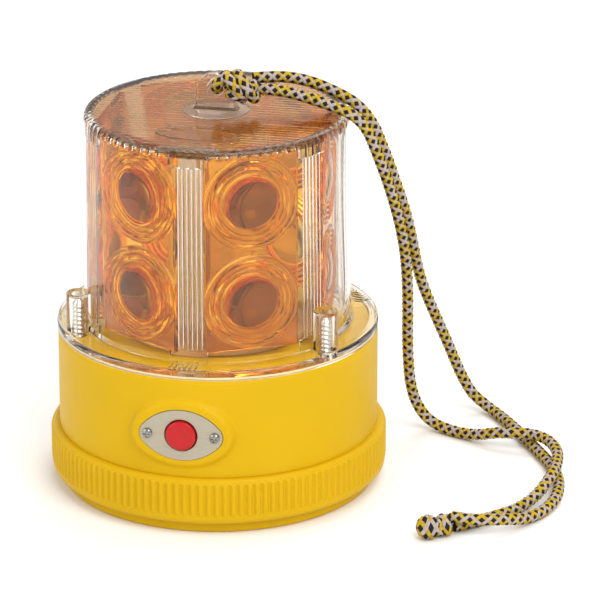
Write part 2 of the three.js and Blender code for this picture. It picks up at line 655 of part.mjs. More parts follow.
function tabPlate(grow = 0) {
  const half = TAB_WIDTH / 2 + grow;
  const shoulder = TAB_TOP - TAB_WIDTH / 2;
  const shape = new THREE.Shape();
  shape.moveTo(-half, DOME_TOP - 1);
  shape.lineTo(half, DOME_TOP - 1);
  shape.lineTo(half, shoulder);
  shape.absarc(0, shoulder, half, 0, Math.PI, false);
  const hole = new THREE.Path();
  hole.absarc(0, TAB_HOLE_Z, TAB_HOLE_R - grow, 0, 2 * Math.PI, true);
  shape.holes.push(hole);
  return plate(shape, -TAB_THICKNESS / 2 - grow, TAB_THICKNESS / 2 + grow, 8);
}

function dome() {
  const inner = DOME_R_HIGH - DOME_WALL;
  const parts = [tabPlate(), disc(TAB_FOOT_R, DOME_TOP - 1, DOME_TOP + TAB_FOOT_HEIGHT, 24)];
  for (let i = 0; i < COLUMNS; i += 1) {
    const angle = (360 / COLUMNS) * i;
    const top = DOME_TOP - DOME_WALL + 1;
    const radii = [inner - COLUMN_DEPTH, inner + 1.4]; // the outer one is inside the wall
    const column = wallBlock(COLUMN_ANGLE, ...radii, FLANGE_BOTTOM + 2, top);
    const header = wallBlock(HEADER_ANGLE, ...radii, top - HEADER_HEIGHT, top);
    parts.push(spin(column, angle), spin(header, angle));
  }
  const bores = [];
  for (const angle of DOME_SCREW_ANGLES) {
    const place = facing(angle).multiplyScalar(DOME_SCREW_PCD_R);
    parts.push(disc(BOSS_R, FLANGE_BOTTOM + 2, BOSS_TOP).translate(place.x, place.y, 0));
    const bore = disc(BOSS_BORE_R, FLANGE_BOTTOM, BOSS_TOP - BOSS_CAP);
    bores.push(bore.translate(place.x, place.y, 0));
  }
  return combine(domeShell(), parts, bores);
}

function makeDome() {
  add("lens_dome", dome(), CLEAR);
  add("dome_gasket", ring(54, 55.5, DECK_TOP + GAP, FLANGE_BOTTOM + 0.7, 36), WHITE);
  DOME_SCREW_ANGLES.forEach((angle, i) => {
    const headTop = DECK_BOTTOM - GAP;
    const headLow = headTop - DOME_SCREW_HEAD;
    const end = BOSS_TOP - BOSS_CAP - 0.6;
    const screw = turned([
      [0, headLow], [DOME_SCREW_HEAD_R - 0.8, headLow], [DOME_SCREW_HEAD_R, headLow + 1.2],
      [DOME_SCREW_HEAD_R, headTop], [DOME_SCREW_R, headTop], [DOME_SCREW_R, end - 1.8],
      [1, end], [0, end],
    ], SMALL);
    const mesh = add(`dome_screw_${i + 1}`, screw, STEEL);
    mesh.position.copy(facing(angle).multiplyScalar(DOME_SCREW_PCD_R));
  });
}

// ---------- Lanyard ----------

// Loop through the tab's hole that runs into the knot beside it.
function tabKnot() {
  const loop = new THREE.TorusGeometry(TAB_LOOP_R, KNOT_CORD_R, 6, 14)
    .translate(TAB_LOOP_X, 0, TAB_HOLE_Z);
  const lumps = KNOT_LUMPS.map(({ size, at: [x, y, rise] }) =>
    new THREE.SphereGeometry(1, 12, 8).scale(...size).translate(x, y, TAB_HOLE_Z + rise));
  return combine(loop, lumps, [tabPlate(GAP)]);
}

// Ball at the cord's end, with a short wrapped neck beside it.
function endKnot() {
  const ball = new THREE.SphereGeometry(END_BALL_R, 14, 9).translate(...END_BALL);
  const neck = disc(END_NECK_R, 0, END_NECK_LENGTH, 14).rotateY(Math.PI / 2);
  neck.rotateZ(END_NECK_TURN).translate(...END_NECK);
  return combine(ball, [neck]);
}

function makeLanyard() {
  add("lanyard_tab_knot", tabKnot(), BRAID);
  add("lanyard_strand_a", tube(STRAND_A, CORD_R, CORD_SIDES, CORD_STEP), BRAID);
  add("lanyard_strand_b", tube(STRAND_B, CORD_R, CORD_SIDES, CORD_STEP), BRAID);
  add("lanyard_end_knot", endKnot(), BRAID);
}

makeCover();
add("housing", housing(), YELLOW);
makeSwitch();
makePower();
makeLamps();
makeDome();
makeLanyard();

export default lamp;
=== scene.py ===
"""Looks of a battery-powered amber warning beacon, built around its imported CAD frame.

Shapes are worked out in millimetres, and a mesh is written in metres. Angles in plan are degrees
from the button's side (-Y) towards +X.
"""

import math

import bmesh
import bpy
from mathutils import Matrix, Vector


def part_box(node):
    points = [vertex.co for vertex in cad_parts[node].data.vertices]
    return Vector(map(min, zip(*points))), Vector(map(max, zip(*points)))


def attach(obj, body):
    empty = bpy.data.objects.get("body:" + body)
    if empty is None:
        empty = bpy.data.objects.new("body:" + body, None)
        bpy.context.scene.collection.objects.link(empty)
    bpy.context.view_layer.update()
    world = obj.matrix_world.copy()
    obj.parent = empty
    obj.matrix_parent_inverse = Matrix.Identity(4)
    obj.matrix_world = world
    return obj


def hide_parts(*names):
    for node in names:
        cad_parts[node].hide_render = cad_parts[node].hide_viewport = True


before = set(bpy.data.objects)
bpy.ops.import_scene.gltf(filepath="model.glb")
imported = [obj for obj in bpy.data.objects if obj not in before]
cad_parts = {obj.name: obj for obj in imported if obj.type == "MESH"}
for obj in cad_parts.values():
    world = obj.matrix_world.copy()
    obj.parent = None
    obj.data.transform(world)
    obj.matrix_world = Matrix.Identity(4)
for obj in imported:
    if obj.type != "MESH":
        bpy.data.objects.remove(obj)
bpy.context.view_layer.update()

MM = 0.001
TURN = 2 * math.pi
scene = bpy.context.scene


def cad(node):
    """Lowest and highest corner of a CAD node, in millimetres."""
    low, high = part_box(node)
    return low / MM, high / MM


# ---------- Camera, light and floor ----------

CAMERA_AZIMUTH = math.radians(11.8)
CAMERA_PITCH = math.radians(20.815)
CAMERA_DISTANCE = 1.4156
FOCAL_LENGTH = 239.556  # millimetres, on a sensor this wide
SENSOR_WIDTH = 36
AIM_RIGHT = 0.02911  # how far right of the lamp's axis the camera aims
AIM_HEIGHT = 0.06525


def direction(azimuth, elevation):
    """Towards a place at that azimuth, 0 in front of the button, and elevation, in radians."""
    flat = math.cos(elevation)
    return Vector((math.sin(azimuth) * flat, -math.cos(azimuth) * flat, math.sin(elevation)))


def link(name, data):
    piece = bpy.data.objects.new(name, data)
    scene.collection.objects.link(piece)
    return piece


def make_camera():
    camera = link("camera", bpy.data.cameras.new("camera"))
    camera.data.lens = FOCAL_LENGTH
    camera.data.sensor_width = SENSOR_WIDTH
    right = Vector((math.cos(CAMERA_AZIMUTH), math.sin(CAMERA_AZIMUTH), 0))
    aim = right * AIM_RIGHT + Vector((0, 0, AIM_HEIGHT))
    camera.location = aim + direction(CAMERA_AZIMUTH, CAMERA_PITCH) * CAMERA_DISTANCE
    camera.rotation_euler = (math.pi / 2 - CAMERA_PITCH, 0, CAMERA_AZIMUTH)
    scene.camera = camera


def soft_box(name, azimuth, elevation, distance, size, power):
    """Square area light that faces the lamp."""
    light = link(name, bpy.data.lights.new(name, "AREA"))
    light.data.size = size
    light.data.energy = power
    towards = direction(math.radians(azimuth), math.radians(elevation))
    light.location = towards * distance
    light.rotation_euler = towards.to_track_quat("Z", "Y").to_euler()


def make_studio():
    world = bpy.data.worlds.new("studio")
    world.use_nodes = True
    background = world.node_tree.nodes["Background"]
    background.inputs["Color"].default_value = (1, 1, 1, 1)
    background.inputs["Strength"].default_value = 0.72
    scene.world = world
    soft_box("key_light", 42, 48, 1.6, 1.1, 16)
    soft_box("fill_light", -58, 30, 1.8, 1.2, 7)
    soft_box("back_light", 170, 55, 1.6, 1.0, 8)
    half = 4  # metres
    corners = [(-half, -half, 0), (half, -half, 0), (half, half, 0), (-half, half, 0)]
    mesh = bpy.data.meshes.new("floor")
    mesh.from_pydata(corners, [], [(0, 1, 2, 3)])
    floor = link("floor", mesh)
    mesh.materials.append(surface("floor_paper", (0.93, 0.93, 0.925), 0.7, grain=6, variation=0.01))
    scene.view_settings.view_transform = "Standard"
    scene.cycles.max_bounces = 24
    scene.cycles.transmission_bounces = 24
    scene.cycles.glossy_bounces = 8


# ---------- Materials ----------


def noise(tree, scale, detail=4.0, stretch=(1, 1, 1)):
    """Noise over the object's own coordinates, `scale` features to a metre."""
    coordinates = tree.nodes.new("ShaderNodeTexCoord")
    mapping = tree.nodes.new("ShaderNodeMapping")
    mapping.inputs["Scale"].default_value = stretch
    texture = tree.nodes.new("ShaderNodeTexNoise")
    texture.inputs["Scale"].default_value = scale
    texture.inputs["Detail"].default_value = detail
    tree.links.new(coordinates.outputs["Object"], mapping.inputs["Vector"])
    tree.links.new(mapping.outputs["Vector"], texture.inputs["Vector"])
    return texture.outputs["Fac"]


def surface(
    name,
    color,
    roughness,
    grain=60,
    variation=0.06,
    bump=0.04,
    bump_scale=2600,
    stretch=(1, 1, 1),
    **sockets,
):
    """Procedural finish: colour and roughness drift over the piece, and a fine grain lifts it."""
    material = bpy.data.materials.new(name)
    material.use_nodes = True
    tree = material.node_tree
    shader = tree.nodes["Principled BSDF"]
    drift = noise(tree, grain, stretch=stretch)

    ramp = tree.nodes.new("ShaderNodeValToRGB")
    ramp.color_ramp.elements[0].position = 0.3
    ramp.color_ramp.elements[1].position = 0.7
    ramp.color_ramp.elements[0].color = [c * (1 - variation) for c in color] + [1]
    ramp.color_ramp.elements[1].color = [min(1, c * (1 + variation)) for c in color] + [1]
    tree.links.new(drift, ramp.inputs["Fac"])
    tree.links.new(ramp.outputs["Color"], shader.inputs["Base Color"])

    sheen = tree.nodes.new("ShaderNodeMapRange")
    sheen.inputs["To Min"].default_value = roughness * 0.8
    sheen.inputs["To Max"].default_value = roughness * 1.2
    tree.links.new(noise(tree, grain * 7, stretch=stretch), sheen.inputs["Value"])
    tree.links.new(sheen.outputs["Result"], shader.inputs["Roughness"])

    lift = tree.nodes.new("ShaderNodeBump")
    lift.inputs["Strength"].default_value = bump
    lift.inputs["Distance"].default_value = 0.0002
    tree.links.new(noise(tree, bump_scale, 2.0, stretch), lift.inputs["Height"])
    tree.links.new(lift.outputs["Normal"], shader.inputs["Normal"])

    for socket, value in sockets.items():
        shader.inputs[socket.replace("_", " ")].default_value = value
    return material


def absorbing(material, color, density):
    """Darkens what is seen through a great thickness of a clear material."""
    tree = material.node_tree
    absorption = tree.nodes.new("ShaderNodeVolumeAbsorption")
    absorption.inputs["Color"].default_value = (*color, 1)
    absorption.inputs["Density"].default_value = density
    tree.links.new(absorption.outputs["Volume"], tree.nodes["Material Output"].inputs["Volume"])
    return material


# ---------- Meshes ----------


def mesh_piece(name, points, faces):
    mesh = bpy.data.meshes.new(name)
    mesh.from_pydata([Vector(point) * MM for point in points], [], faces)
    return link(name, mesh)


def on_circle(radius, degrees, height=0.0):
    angle = math.radians(degrees)
    return Vector((radius * math.sin(angle), -radius * math.cos(angle), height))


def smoothstep(start, end, value):
    share = min(1, max(0, (value - start) / (end - start)))
    return share * share * (3 - 2 * share)


def rounded(corners, steps=5):
    """Outline through (across, up, fillet radius) corners, with each fillet as an arc."""
    outline = []
    for i, (x, y, fillet) in enumerate(corners):
        here = Vector((x, y))
        if not fillet:
            outline.append(here)
            continue
        before = (Vector(corners[i - 1][:2]) - here).normalized()
        after = (Vector(corners[(i + 1) % len(corners)][:2]) - here).normalized()
        half = before.angle(after) / 2
        centre = here + (before + after).normalized() * (fillet / math.sin(half))
        first = here + before * (fillet / math.tan(half)) - centre
        last = here + after * (fillet / math.tan(half)) - centre
        sweep = math.pi - 2 * half
        for k in range(steps + 1):
            t = k / steps
            arm = first * math.sin((1 - t) * sweep) + last * math.sin(t * sweep)
            outline.append(centre + arm / math.sin(sweep))
    return outline


def with_rows(outline, heights, gap=1e-4):
    """The outline with extra points where a side crosses these heights, clear of its ends."""
    rows = []
    for i, here in enumerate(outline):
        there = outline[(i + 1) % len(outline)]
        rows.append(here)
        span = there[1] - here[1]
        way = math.copysign(1, span)
        crossed = [h for h in heights if gap < (h - here[1]) * way < abs(span) - gap]
        for h in sorted(crossed, reverse=span < 0):
            rows.append(Vector(here).lerp(Vector(there), (h - here[1]) / span))
    return rows


def turned(name, outline, angles=64, shape=None):
    """Solid turned about Z from a closed outline of (radius, height) points.

    The outline runs out along the bottom, up the outside and back. `angles` is a count, or a list of
    degrees. shape(radius, height, degrees) may give a point another radius.
    """
    if isinstance(angles, int):
        angles = [360 * i / angles for i in range(angles)]
    points = []
    rings = []
    for radius, height in outline:
        if radius < 1e-6:
            rings.append([len(points)] * len(angles))
            points.append((0, 0, height))
            continue
        rings.append(range(len(points), len(points) + len(angles)))
        for angle in angles:
            reach = shape(radius, height, angle) if shape else radius
            points.append(on_circle(reach, angle, height))
    faces = []
    for k, low in enumerate(rings):
        high = rings[(k + 1) % len(rings)]
        for i in range(len(angles)):
            j = (i + 1) % len(angles)
            face = list(dict.fromkeys((low[i], low[j], high[j], high[i])))
            if len(face) > 2:
                faces.append(face)
    return mesh_piece(name, points, faces)


def prism(name, outline, front, back):
    """Solid with an outline in X and Z, from y = front to y = back."""
    count = len(outline)
    points = [(x, y, z) for y in (front, back) for x, z in outline]
    faces = [tuple(range(count)), tuple(reversed(range(count, 2 * count)))]
    faces += [(i, i + count, (i + 1) % count + count, (i + 1) % count) for i in range(count)]
    return mesh_piece(name, points, faces)


def block(name, low, high):
    outline = [(low[0], low[2]), (high[0], low[2]), (high[0], high[2]), (low[0], high[2])]
    return prism(name, outline, low[1], high[1])


def moved(piece, *matrices):
    for matrix in matrices:
        piece.data.transform(matrix)
    return piece


def shift(x, y, z):
    return Matrix.Translation(Vector((x, y, z)) * MM)


def spin(degrees, axis="Z"):
    return Matrix.Rotation(math.radians(degrees), 4, axis)


def rod_y(name, radius, front, back, x=0.0, z=0.0, sides=64):
    outline = [(0, -back), (radius, -back), (radius, -front), (0, -front)]
    return moved(turned(name, outline, sides), spin(90, "X"), shift(x, 0, z))


def rod_z(name, radius, low, high, x=0.0, y=0.0, sides=48):
    outline = [(0, low), (radius, low), (radius, high), (0, high)]
    return moved(turned(name, outline, sides), shift(x, y, 0))


def oval_rod(name, half_length, half_depth, low, high):
    """Upright rod with an oval section, round the axis."""
    return moved(rod_z(name, 1, low, high, sides=96), Matrix.Diagonal((half_length, half_depth, 1, 1)))


def apply(piece):
    """Turns a piece's modifiers into mesh."""
    graph = bpy.context.evaluated_depsgraph_get()
    mesh = bpy.data.meshes.new_from_object(piece.evaluated_get(graph))
    piece.modifiers.clear()
    piece.data = mesh
    return piece


def combine(piece, *tools, operation="DIFFERENCE"):
    """Cuts the tools from the piece, or joins or intersects it with them, and uses them up."""
    for tool in tools:
        modifier = piece.modifiers.new("combine", "BOOLEAN")
        modifier.operation = operation
        modifier.solver = "MANIFOLD"
        modifier.object = tool
        apply(piece)
        bpy.data.objects.remove(tool)
    return piece


def softened(piece, width, segments=3, angle=40):
    modifier = piece.modifiers.new("edges", "BEVEL")
    modifier.width = width * MM
    modifier.segments = segments
    modifier.limit_method = "ANGLE"
    modifier.angle_limit = math.radians(angle)
    modifier.harden_normals = False
    return apply(piece)


def polished(piece, angle=34):
    """Smooth shading with creases, where large faces keep their own direction."""
    mesh = piece.data
    mesh.polygons.foreach_set("use_smooth", [True] * len(mesh.polygons))
    mesh.set_sharp_from_angle(angle=math.radians(angle))
    modifier = piece.modifiers.new("normals", "WEIGHTED_NORMAL")
    modifier.keep_sharp = True
    return apply(piece)


def dress(piece, body, slot, finishes, *nodes):
    """Gives a piece its finish and its body, and hides the CAD nodes that it stands for."""
    if isinstance(finishes, str):
        finishes = [finishes]
    piece.data.materials.clear()
    for finish in finishes:
        piece.data.materials.append(FINISH[finish])
    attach(piece, body)
    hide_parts(*nodes)
    return piece


# ---------- Finishes ----------

CLEAR_TINT = (0.59, 0.5, 0.41)
CLEAR_DENSITY = 32


def make_finishes():
    clear = surface("clear_plastic", (0.97, 0.95, 0.92), 0.02, 25, 0.01, 0.02, 90,
                    Transmission_Weight=1.0, IOR=1.33)
    # The prisms' brownish amber colour and amber specular tint are painted amber light: they stand in
    # for the amber panels' light seen through and in the clear prisms.
    prisms = surface("clear_prisms_painted_amber_light", (0.6, 0.34, 0.15), 0.14, 60, 0.1, 0.02, 90,
                     Transmission_Weight=1.0, IOR=1.33, Specular_Tint=(1, 0.75, 0.5, 1))
    amber = surface("amber_plastic", (1.0, 0.5, 0.05), 0.03, 25, 0.05, 0.02, 120,
                    Transmission_Weight=0.97, IOR=1.45, Specular_Tint=(1, 0.6, 0.25, 1))
    return {
        "yellow": surface("yellow_plastic", (0.62, 0.375, 0.004), 0.4, 30, 0.03, 0.05, 3200,
                          Specular_IOR_Level=0.1),
        "clear": absorbing(clear, CLEAR_TINT, CLEAR_DENSITY),
        "prisms": absorbing(prisms, CLEAR_TINT, CLEAR_DENSITY),
        "amber": absorbing(amber, (0.97, 0.75, 0.0), 45),
        "amber_core": surface("amber_lens_core", (0.46, 0.44, 0.32), 0.04, 90, 0.25, 0.02, 120,
                              Transmission_Weight=1.0, IOR=1.5, Specular_Tint=(1, 0.7, 0.4, 1)),
        "steel": surface("bright_steel", (0.72, 0.7, 0.66), 0.25, 400, 0.08, 0.08, 2500, Metallic=1.0),
        "satin": surface("satin_bezel", (0.43, 0.38, 0.285), 0.36, 250, 0.06, 0.06, 900,
                         stretch=(1, 1, 14), Metallic=0.55),
        "red": surface("red_plastic", (0.47, 0.01, 0.01), 0.3, 120, 0.08, 0.03, 1500,
                       Specular_IOR_Level=0.3),
        "black": surface("black_plastic", (0.02, 0.02, 0.022), 0.5, 90, 0.2, 0.1, 2200),
        "rubber": surface("seal_rubber", (0.03, 0.028, 0.026), 0.75, 150, 0.2, 0.15, 1800),
        "gasket": surface("gasket_rubber", (0.78, 0.64, 0.36), 0.5, 60, 0.08, 0.05, 1200),
        "ferrite": surface("magnet_ferrite", (0.05, 0.05, 0.055), 0.6, 500, 0.3, 0.25, 1500),
        "screw": surface("screw_steel", (0.3, 0.29, 0.27), 0.2, 400, 0.15, 0.08, 2500, Metallic=1.0),
        "tower": surface("tower_plastic", (0.6, 0.38, 0.16), 0.45, 70, 0.1, 0.05, 2200),
        "white": surface("white_plastic", (0.8, 0.77, 0.7), 0.4, 70, 0.05, 0.05, 2200),
        "phosphor": surface("led_phosphor", (1.0, 0.9, 0.25), 0.3, 600, 0.04, 0.05, 3000),
        "board": surface("board_laminate", (0.1, 0.12, 0.07), 0.4, 300, 0.2, 0.06, 2500),
        "led_board": surface("led_board_mask", (0.88, 0.82, 0.7), 0.4, 300, 0.1, 0.06, 2500),
        "cell": surface("battery_wrap", (0.25, 0.24, 0.22), 0.3, 60, 0.1, 0.03, 900),
        "brass": surface("contact_brass", (0.65, 0.46, 0.18), 0.3, 300, 0.1, 0.06, 2000, Metallic=1.0),
        "copper": surface("inductor_wrap", (0.3, 0.16, 0.06), 0.4, 500, 0.25, 0.3, 1400,
                          stretch=(1, 1, 6)),
        "wire_red": surface("wire_red", (0.45, 0.02, 0.02), 0.4, 90, 0.1, 0.04, 1500),
        "wire_black": surface("wire_black", (0.02, 0.02, 0.02), 0.4, 90, 0.2, 0.04, 1500),
        "yarn_black": surface("yarn_black", (0.014, 0.012, 0.018), 0.75, 900, 0.35, 0.5, 4200,
                              Specular_IOR_Level=0.2),
        "yarn_yellow": surface("yarn_yellow", (0.5, 0.33, 0.015), 0.7, 900, 0.25, 0.5, 4200,
                               Specular_IOR_Level=0.2),
        "yarn_white": surface("yarn_white", (0.46, 0.38, 0.33), 0.7, 900, 0.15, 0.5, 4200,
                              Specular_IOR_Level=0.2),
    }


# ---------- Braided cord ----------

BRAID_STRANDS = 3  # in each of the two families, each with a thick and a thin yarn
BRAID_PITCH = 1.85
THICK = 4  # vertex steps across the thick yarn
STRAND_STEPS = 7  # and across both
BRAID_SIDES = 2 * STRAND_STEPS * BRAID_STRANDS
BRAID_ROW = BRAID_PITCH / STRAND_STEPS
BRAID_R = 1.76  # to the bottom of the grooves between the yarns
BRAID_LIFT = 0.32
BLACK, YELLOW, WHITE = range(3)

STRAND_A = [
    (0.0124, 0.0020, 0.1438), (0.0165, 0.0019, 0.1442), (0.0210, 0.0018, 0.1441),
    (0.0260, 0.0017, 0.1435), (0.0310, 0.0014, 0.1425), (0.0365, 0.0009, 0.1413),
    (0.0415, 0.0004, 0.1400), (0.0455, 0.0004, 0.1386), (0.0488, 0.0010, 0.1366),
    (0.0514, 0.0022, 0.1337), (0.0533, 0.0037, 0.1300), (0.0550, 0.0057, 0.1246),
    (0.0564, 0.0079, 0.1192), (0.0582, 0.0108, 0.1120), (0.0602, 0.0147, 0.1023),
    (0.0619, 0.0190, 0.0915), (0.0628, 0.0236, 0.0805), (0.0629, 0.0286, 0.0685),
    (0.0623, 0.0340, 0.0550), (0.0614, 0.0392, 0.0420), (0.0610, 0.0438, 0.0298),
    (0.0614, 0.0472, 0.0195), (0.0628, 0.0499, 0.0120), (0.0658, 0.0513, 0.0062),
    (0.0703, 0.0507, 0.0030), (0.0755, 0.0484, 0.0022), (0.0815, 0.0457, 0.0023),
    (0.0880, 0.0427, 0.0036), (0.0945, 0.0405, 0.0057), (0.1010, 0.0397, 0.0065),
    (0.1083, 0.0396, 0.0065), (0.1145, 0.0350, 0.0065), (0.1188, 0.0260, 0.0065),
    (0.1204, 0.0140, 0.0065), (0.1198, 0.0020, 0.0064), (0.1170, -0.0075, 0.0042),
    (0.1124, -0.0158, 0.0024), (0.1060, -0.0240, 0.0022), (0.0990, -0.0310, 0.0022),
    (0.0920, -0.0374, 0.0022),
]
STRAND_B = [
    (0.0120, 0.0050, 0.1469), (0.0155, 0.0066, 0.1470), (0.0204, 0.0088, 0.1468),
    (0.0256, 0.0108, 0.1460), (0.0310, 0.0122, 0.1446), (0.0370, 0.0130, 0.1423),
    (0.0425, 0.0138, 0.1396), (0.0466, 0.0146, 0.1368), (0.0500, 0.0162, 0.1326),
    (0.0528, 0.0183, 0.1271), (0.0546, 0.0207, 0.1209), (0.0565, 0.0237, 0.1137),
    (0.0584, 0.0274, 0.1050), (0.0603, 0.0315, 0.0960), (0.0617, 0.0358, 0.0870),
    (0.0626, 0.0402, 0.0780), (0.0634, 0.0452, 0.0680), (0.0647, 0.0504, 0.0580),
    (0.0668, 0.0554, 0.0486), (0.0694, 0.0604, 0.0388), (0.0720, 0.0650, 0.0294),
    (0.0744, 0.0690, 0.0206), (0.0770, 0.0718, 0.0130), (0.0804, 0.0730, 0.0070),
    (0.0850, 0.0720, 0.0036), (0.0898, 0.0680, 0.0023), (0.0945, 0.0616, 0.0022),
    (0.0992, 0.0545, 0.0022), (0.1056, 0.0438, 0.0022), (0.1116, 0.0336, 0.0022),
    (0.1168, 0.0240, 0.0022), (0.1207, 0.0140, 0.0022), (0.1229, 0.0026, 0.0022),
    (0.1227, -0.0092, 0.0022), (0.1196, -0.0195, 0.0022), (0.1148, -0.0280, 0.0032),
    (0.1090, -0.0350, 0.0054), (0.1030, -0.0390, 0.0065), (0.0970, -0.0396, 0.0065),
    (0.0916, -0.0386, 0.0065),
]


def slope(before, here, after, gap_before, gap_after):
    """Speed of a centripetal curve at the middle one of three points."""
    near = (here - before) / gap_before
    far = (after - before) / (gap_before + gap_after)
    return near - far + (after - here) / gap_after


def through(points, share):
    """Point on the centripetal Catmull-Rom curve through the points; share is 0 to 1."""
    spans = len(points) - 1
    at = min(spans - 1e-9, max(0, share * spans))
    i = int(at)
    here, there = points[i], points[i + 1]
    before = points[i - 1] if i else 2 * here - there
    after = points[i + 2] if i + 2 <= spans else 2 * there - here
    pairs = ((before, here), (here, there), (there, after))
    gaps = [math.sqrt((b - a).length) for a, b in pairs]
    start = slope(before, here, there, gaps[0], gaps[1]) * gaps[1]
    end = slope(here, there, after, gaps[1], gaps[2]) * gaps[1]
    t = at - i
    rise = there - here
    return here + start * t + (3 * rise - 2 * start - end) * t**2 + (start + end - 2 * rise) * t**3


def even_path(points, step, samples=4000):
    """Points at even steps along the smooth curve through the given points."""
    points = [Vector(point) for point in points]
    fine = [through(points, i / samples) for i in range(samples + 1)]
    along = [0.0]
    for a, b in zip(fine, fine[1:]):
        along.append(along[-1] + (b - a).length)
    count = round(along[-1] / step)
    path = []
    k = 0
    for i in range(count + 1):
        wanted = along[-1] * i / count
        while k < len(along) - 2 and along[k + 1] < wanted:
            k += 1
        path.append(fine[k].lerp(fine[k + 1], (wanted - along[k]) / (along[k + 1] - along[k])))
    return path


def frames_along(path):
    """Two directions square to the path at each point, without twist."""
    frames = []
    side = None
    for i in range(len(path)):
        along = (path[min(i + 1, len(path) - 1)] - path[max(i - 1, 0)]).normalized()
        if side is None:
            side = along.orthogonal().normalized()
        side = (side - along * side.dot(along)).normalized()
        frames.append((side, along.cross(side)))
    return frames


def braid(name, path, radius=lambda share: BRAID_R):
    """Cord of raised diamonds along a path with points BRAID_ROW apart, in millimetres.

    Vertices lie where row + place is even. The two families of yarns run along row + place and
    row - place. Black shows where two thick yarns cross.
    """
    frames = frames_along(path)
    last = len(path) - 1
    index = {}
    points = []
    for row, (centre, (side, up)) in enumerate(zip(path, frames)):
        bare = radius(row / last)
        for place in range(row % 2, BRAID_SIDES, 2):
            steps = ((row + place) // 2 % STRAND_STEPS, (row - place) // 2 % STRAND_STEPS)
            sunk = 0 in steps or THICK in steps
            reach = bare if sunk else bare + BRAID_LIFT * bare / BRAID_R
            angle = TURN * place / BRAID_SIDES
            index[row, place] = len(points)
            points.append(centre + (side * math.cos(angle) + up * math.sin(angle)) * reach)
    faces = []
    colors = []
    for row, place in index:
        if row + 2 > last:
            continue
        right = (place + 1) % BRAID_SIDES
        left = (place - 1) % BRAID_SIDES
        beside = (index[row + 1, right], index[row + 1, left])
        faces.append((index[row, place], beside[0], index[row + 2, place], beside[1]))
        first, first_step = divmod((row + place) // 2, STRAND_STEPS)
        second, second_step = divmod((row - place) // 2, STRAND_STEPS)
        if first_step < THICK and second_step < THICK:
            colors.append(BLACK)
        elif first_step < THICK:
            colors.append(YELLOW if second % 3 else WHITE)
        elif second_step < THICK:
            colors.append(WHITE if first % 3 else YELLOW)
        else:
            colors.append(YELLOW if (first + second) % 2 else WHITE)
    for end, inner in ((0, 1), (last, last - 1)):
        hub = len(points)
        points.append(path[end])
        rows = [inner if (end + place) % 2 else end for place in range(BRAID_SIDES)]
        ring = [index[row, place] for place, row in enumerate(rows)]
        for k, here in enumerate(ring):
            there = ring[(k + 1) % BRAID_SIDES]
            faces.append((hub, there, here) if end == 0 else (hub, here, there))
            colors.append(BLACK)
    piece = mesh_piece(name, points, faces)
    piece.data.polygons.foreach_set("use_smooth", [True] * len(faces))
    piece.data.polygons.foreach_set("material_index", colors)
    return piece


def braided(piece, *nodes):
    """Finishes a braid, keeping the yarn that each of its faces has."""
    yarns = [0] * len(piece.data.polygons)
    piece.data.polygons.foreach_get("material_index", yarns)
    dress(piece, "lamp", "braided_cord", ["yarn_black", "yarn_yellow", "yarn_white"], *nodes)
    piece.data.polygons.foreach_set("material_index", yarns)
    return piece


def helix(start, end, radius, first, last, lean=0.0):
    """Points of a coil round the line from start to end, a point every 15 degrees.

    An angle of 0 is the top, and 90 the button's side of a line along +X. The tops of the turns
    lean back along the line by `lean`, and their bottoms lean on.
    """
    start, end = Vector(start), Vector(end)
    along = (end - start).normalized()
    top = (Vector((0, 0, 1)) - along * along.z).normalized()
    side = along.cross(top)
    count = round(abs(last - first) / 15)
    points = []
    for i in range(count + 1):
        angle = math.radians(first + (last - first) * i / count)
        arm = (top * math.cos(angle) + side * math.sin(angle)) * radius
        points.append(start.lerp(end, i / count) + arm - along * lean * math.cos(angle))
    return points


def make_tab_knot():
    """A cord through the tab's hole and twice round itself, and the end that it holds."""
    eye = [
        (8.5, 3.4, 146.4), (4.8, 5.0, 146.1), (1.9, 3.5, 145.0), (0.9, 0, 144.5),
        (1.0, -3.5, 145.3), (1.9, -5.3, 147.6),
    ]
    wraps = helix((6.4, -3.3, 146.5), (12.4, -1.5, 145.9), 3.9, 15, 570, lean=2.3)
    held = [
        (9.4, 2.6, 145.0), (7.2, -1.6, 144.0), (6.0, -4.6, 144.2), (8.0, -6.4, 143.8),
        (10.8, -5.2, 144.2), (12.6, -2.0, 145.2), (13.2, 1.4, 146.0),
    ]
    pieces = [
        braid("lanyard_eye", even_path(eye + wraps, BRAID_ROW)),
        braid("lanyard_wraps", even_path(held, BRAID_ROW)),
    ]
    braided(pieces[0], "lanyard_tab_knot")
    braided(pieces[1])
    return pieces


def make_end_knot():
    """A round stopper knot with a wrapped neck."""
    ball_r = 4.3
    groove_share = 0.87  # of the ball's radius, at the bottom of its grooves
    tip_r = 0.35
    heading = 0.35  # in radians from +X
    centre = Vector((84.2, -44.4, 4.35))
    along = Vector((math.cos(heading), math.sin(heading), 0))
    half = along * ball_r * 0.98
    ball_path = even_path([centre - half, centre, centre + half], BRAID_ROW)

    def ball_radius(share):
        return max(tip_r, groove_share * ball_r * math.sqrt(max(0, 1 - (2 * share - 1) ** 2)))

    ball = braid("lanyard_end_ball", ball_path, ball_radius)
    neck_start = Vector((86.6, -41.9, 4.2))
    coil = helix(neck_start, neck_start + along * 5.2, 1.9, 30, 720)
    neck = braid("lanyard_end_wraps", even_path(coil, BRAID_ROW))
    braided(ball, "lanyard_end_knot")
    braided(neck)
    return [ball, neck]


def make_lanyard():
    knots = make_tab_knot() + make_end_knot()
    for letter, points, length in (("a", STRAND_A, 0.319), ("b", STRAND_B, 0.335)):
        name = "lanyard_strand_" + letter
        path = even_path([Vector(point) / MM for point in points], BRAID_ROW)
        strand = braided(braid(name + "_braid", path), name)


# ---------- Battery cover and magnet ----------

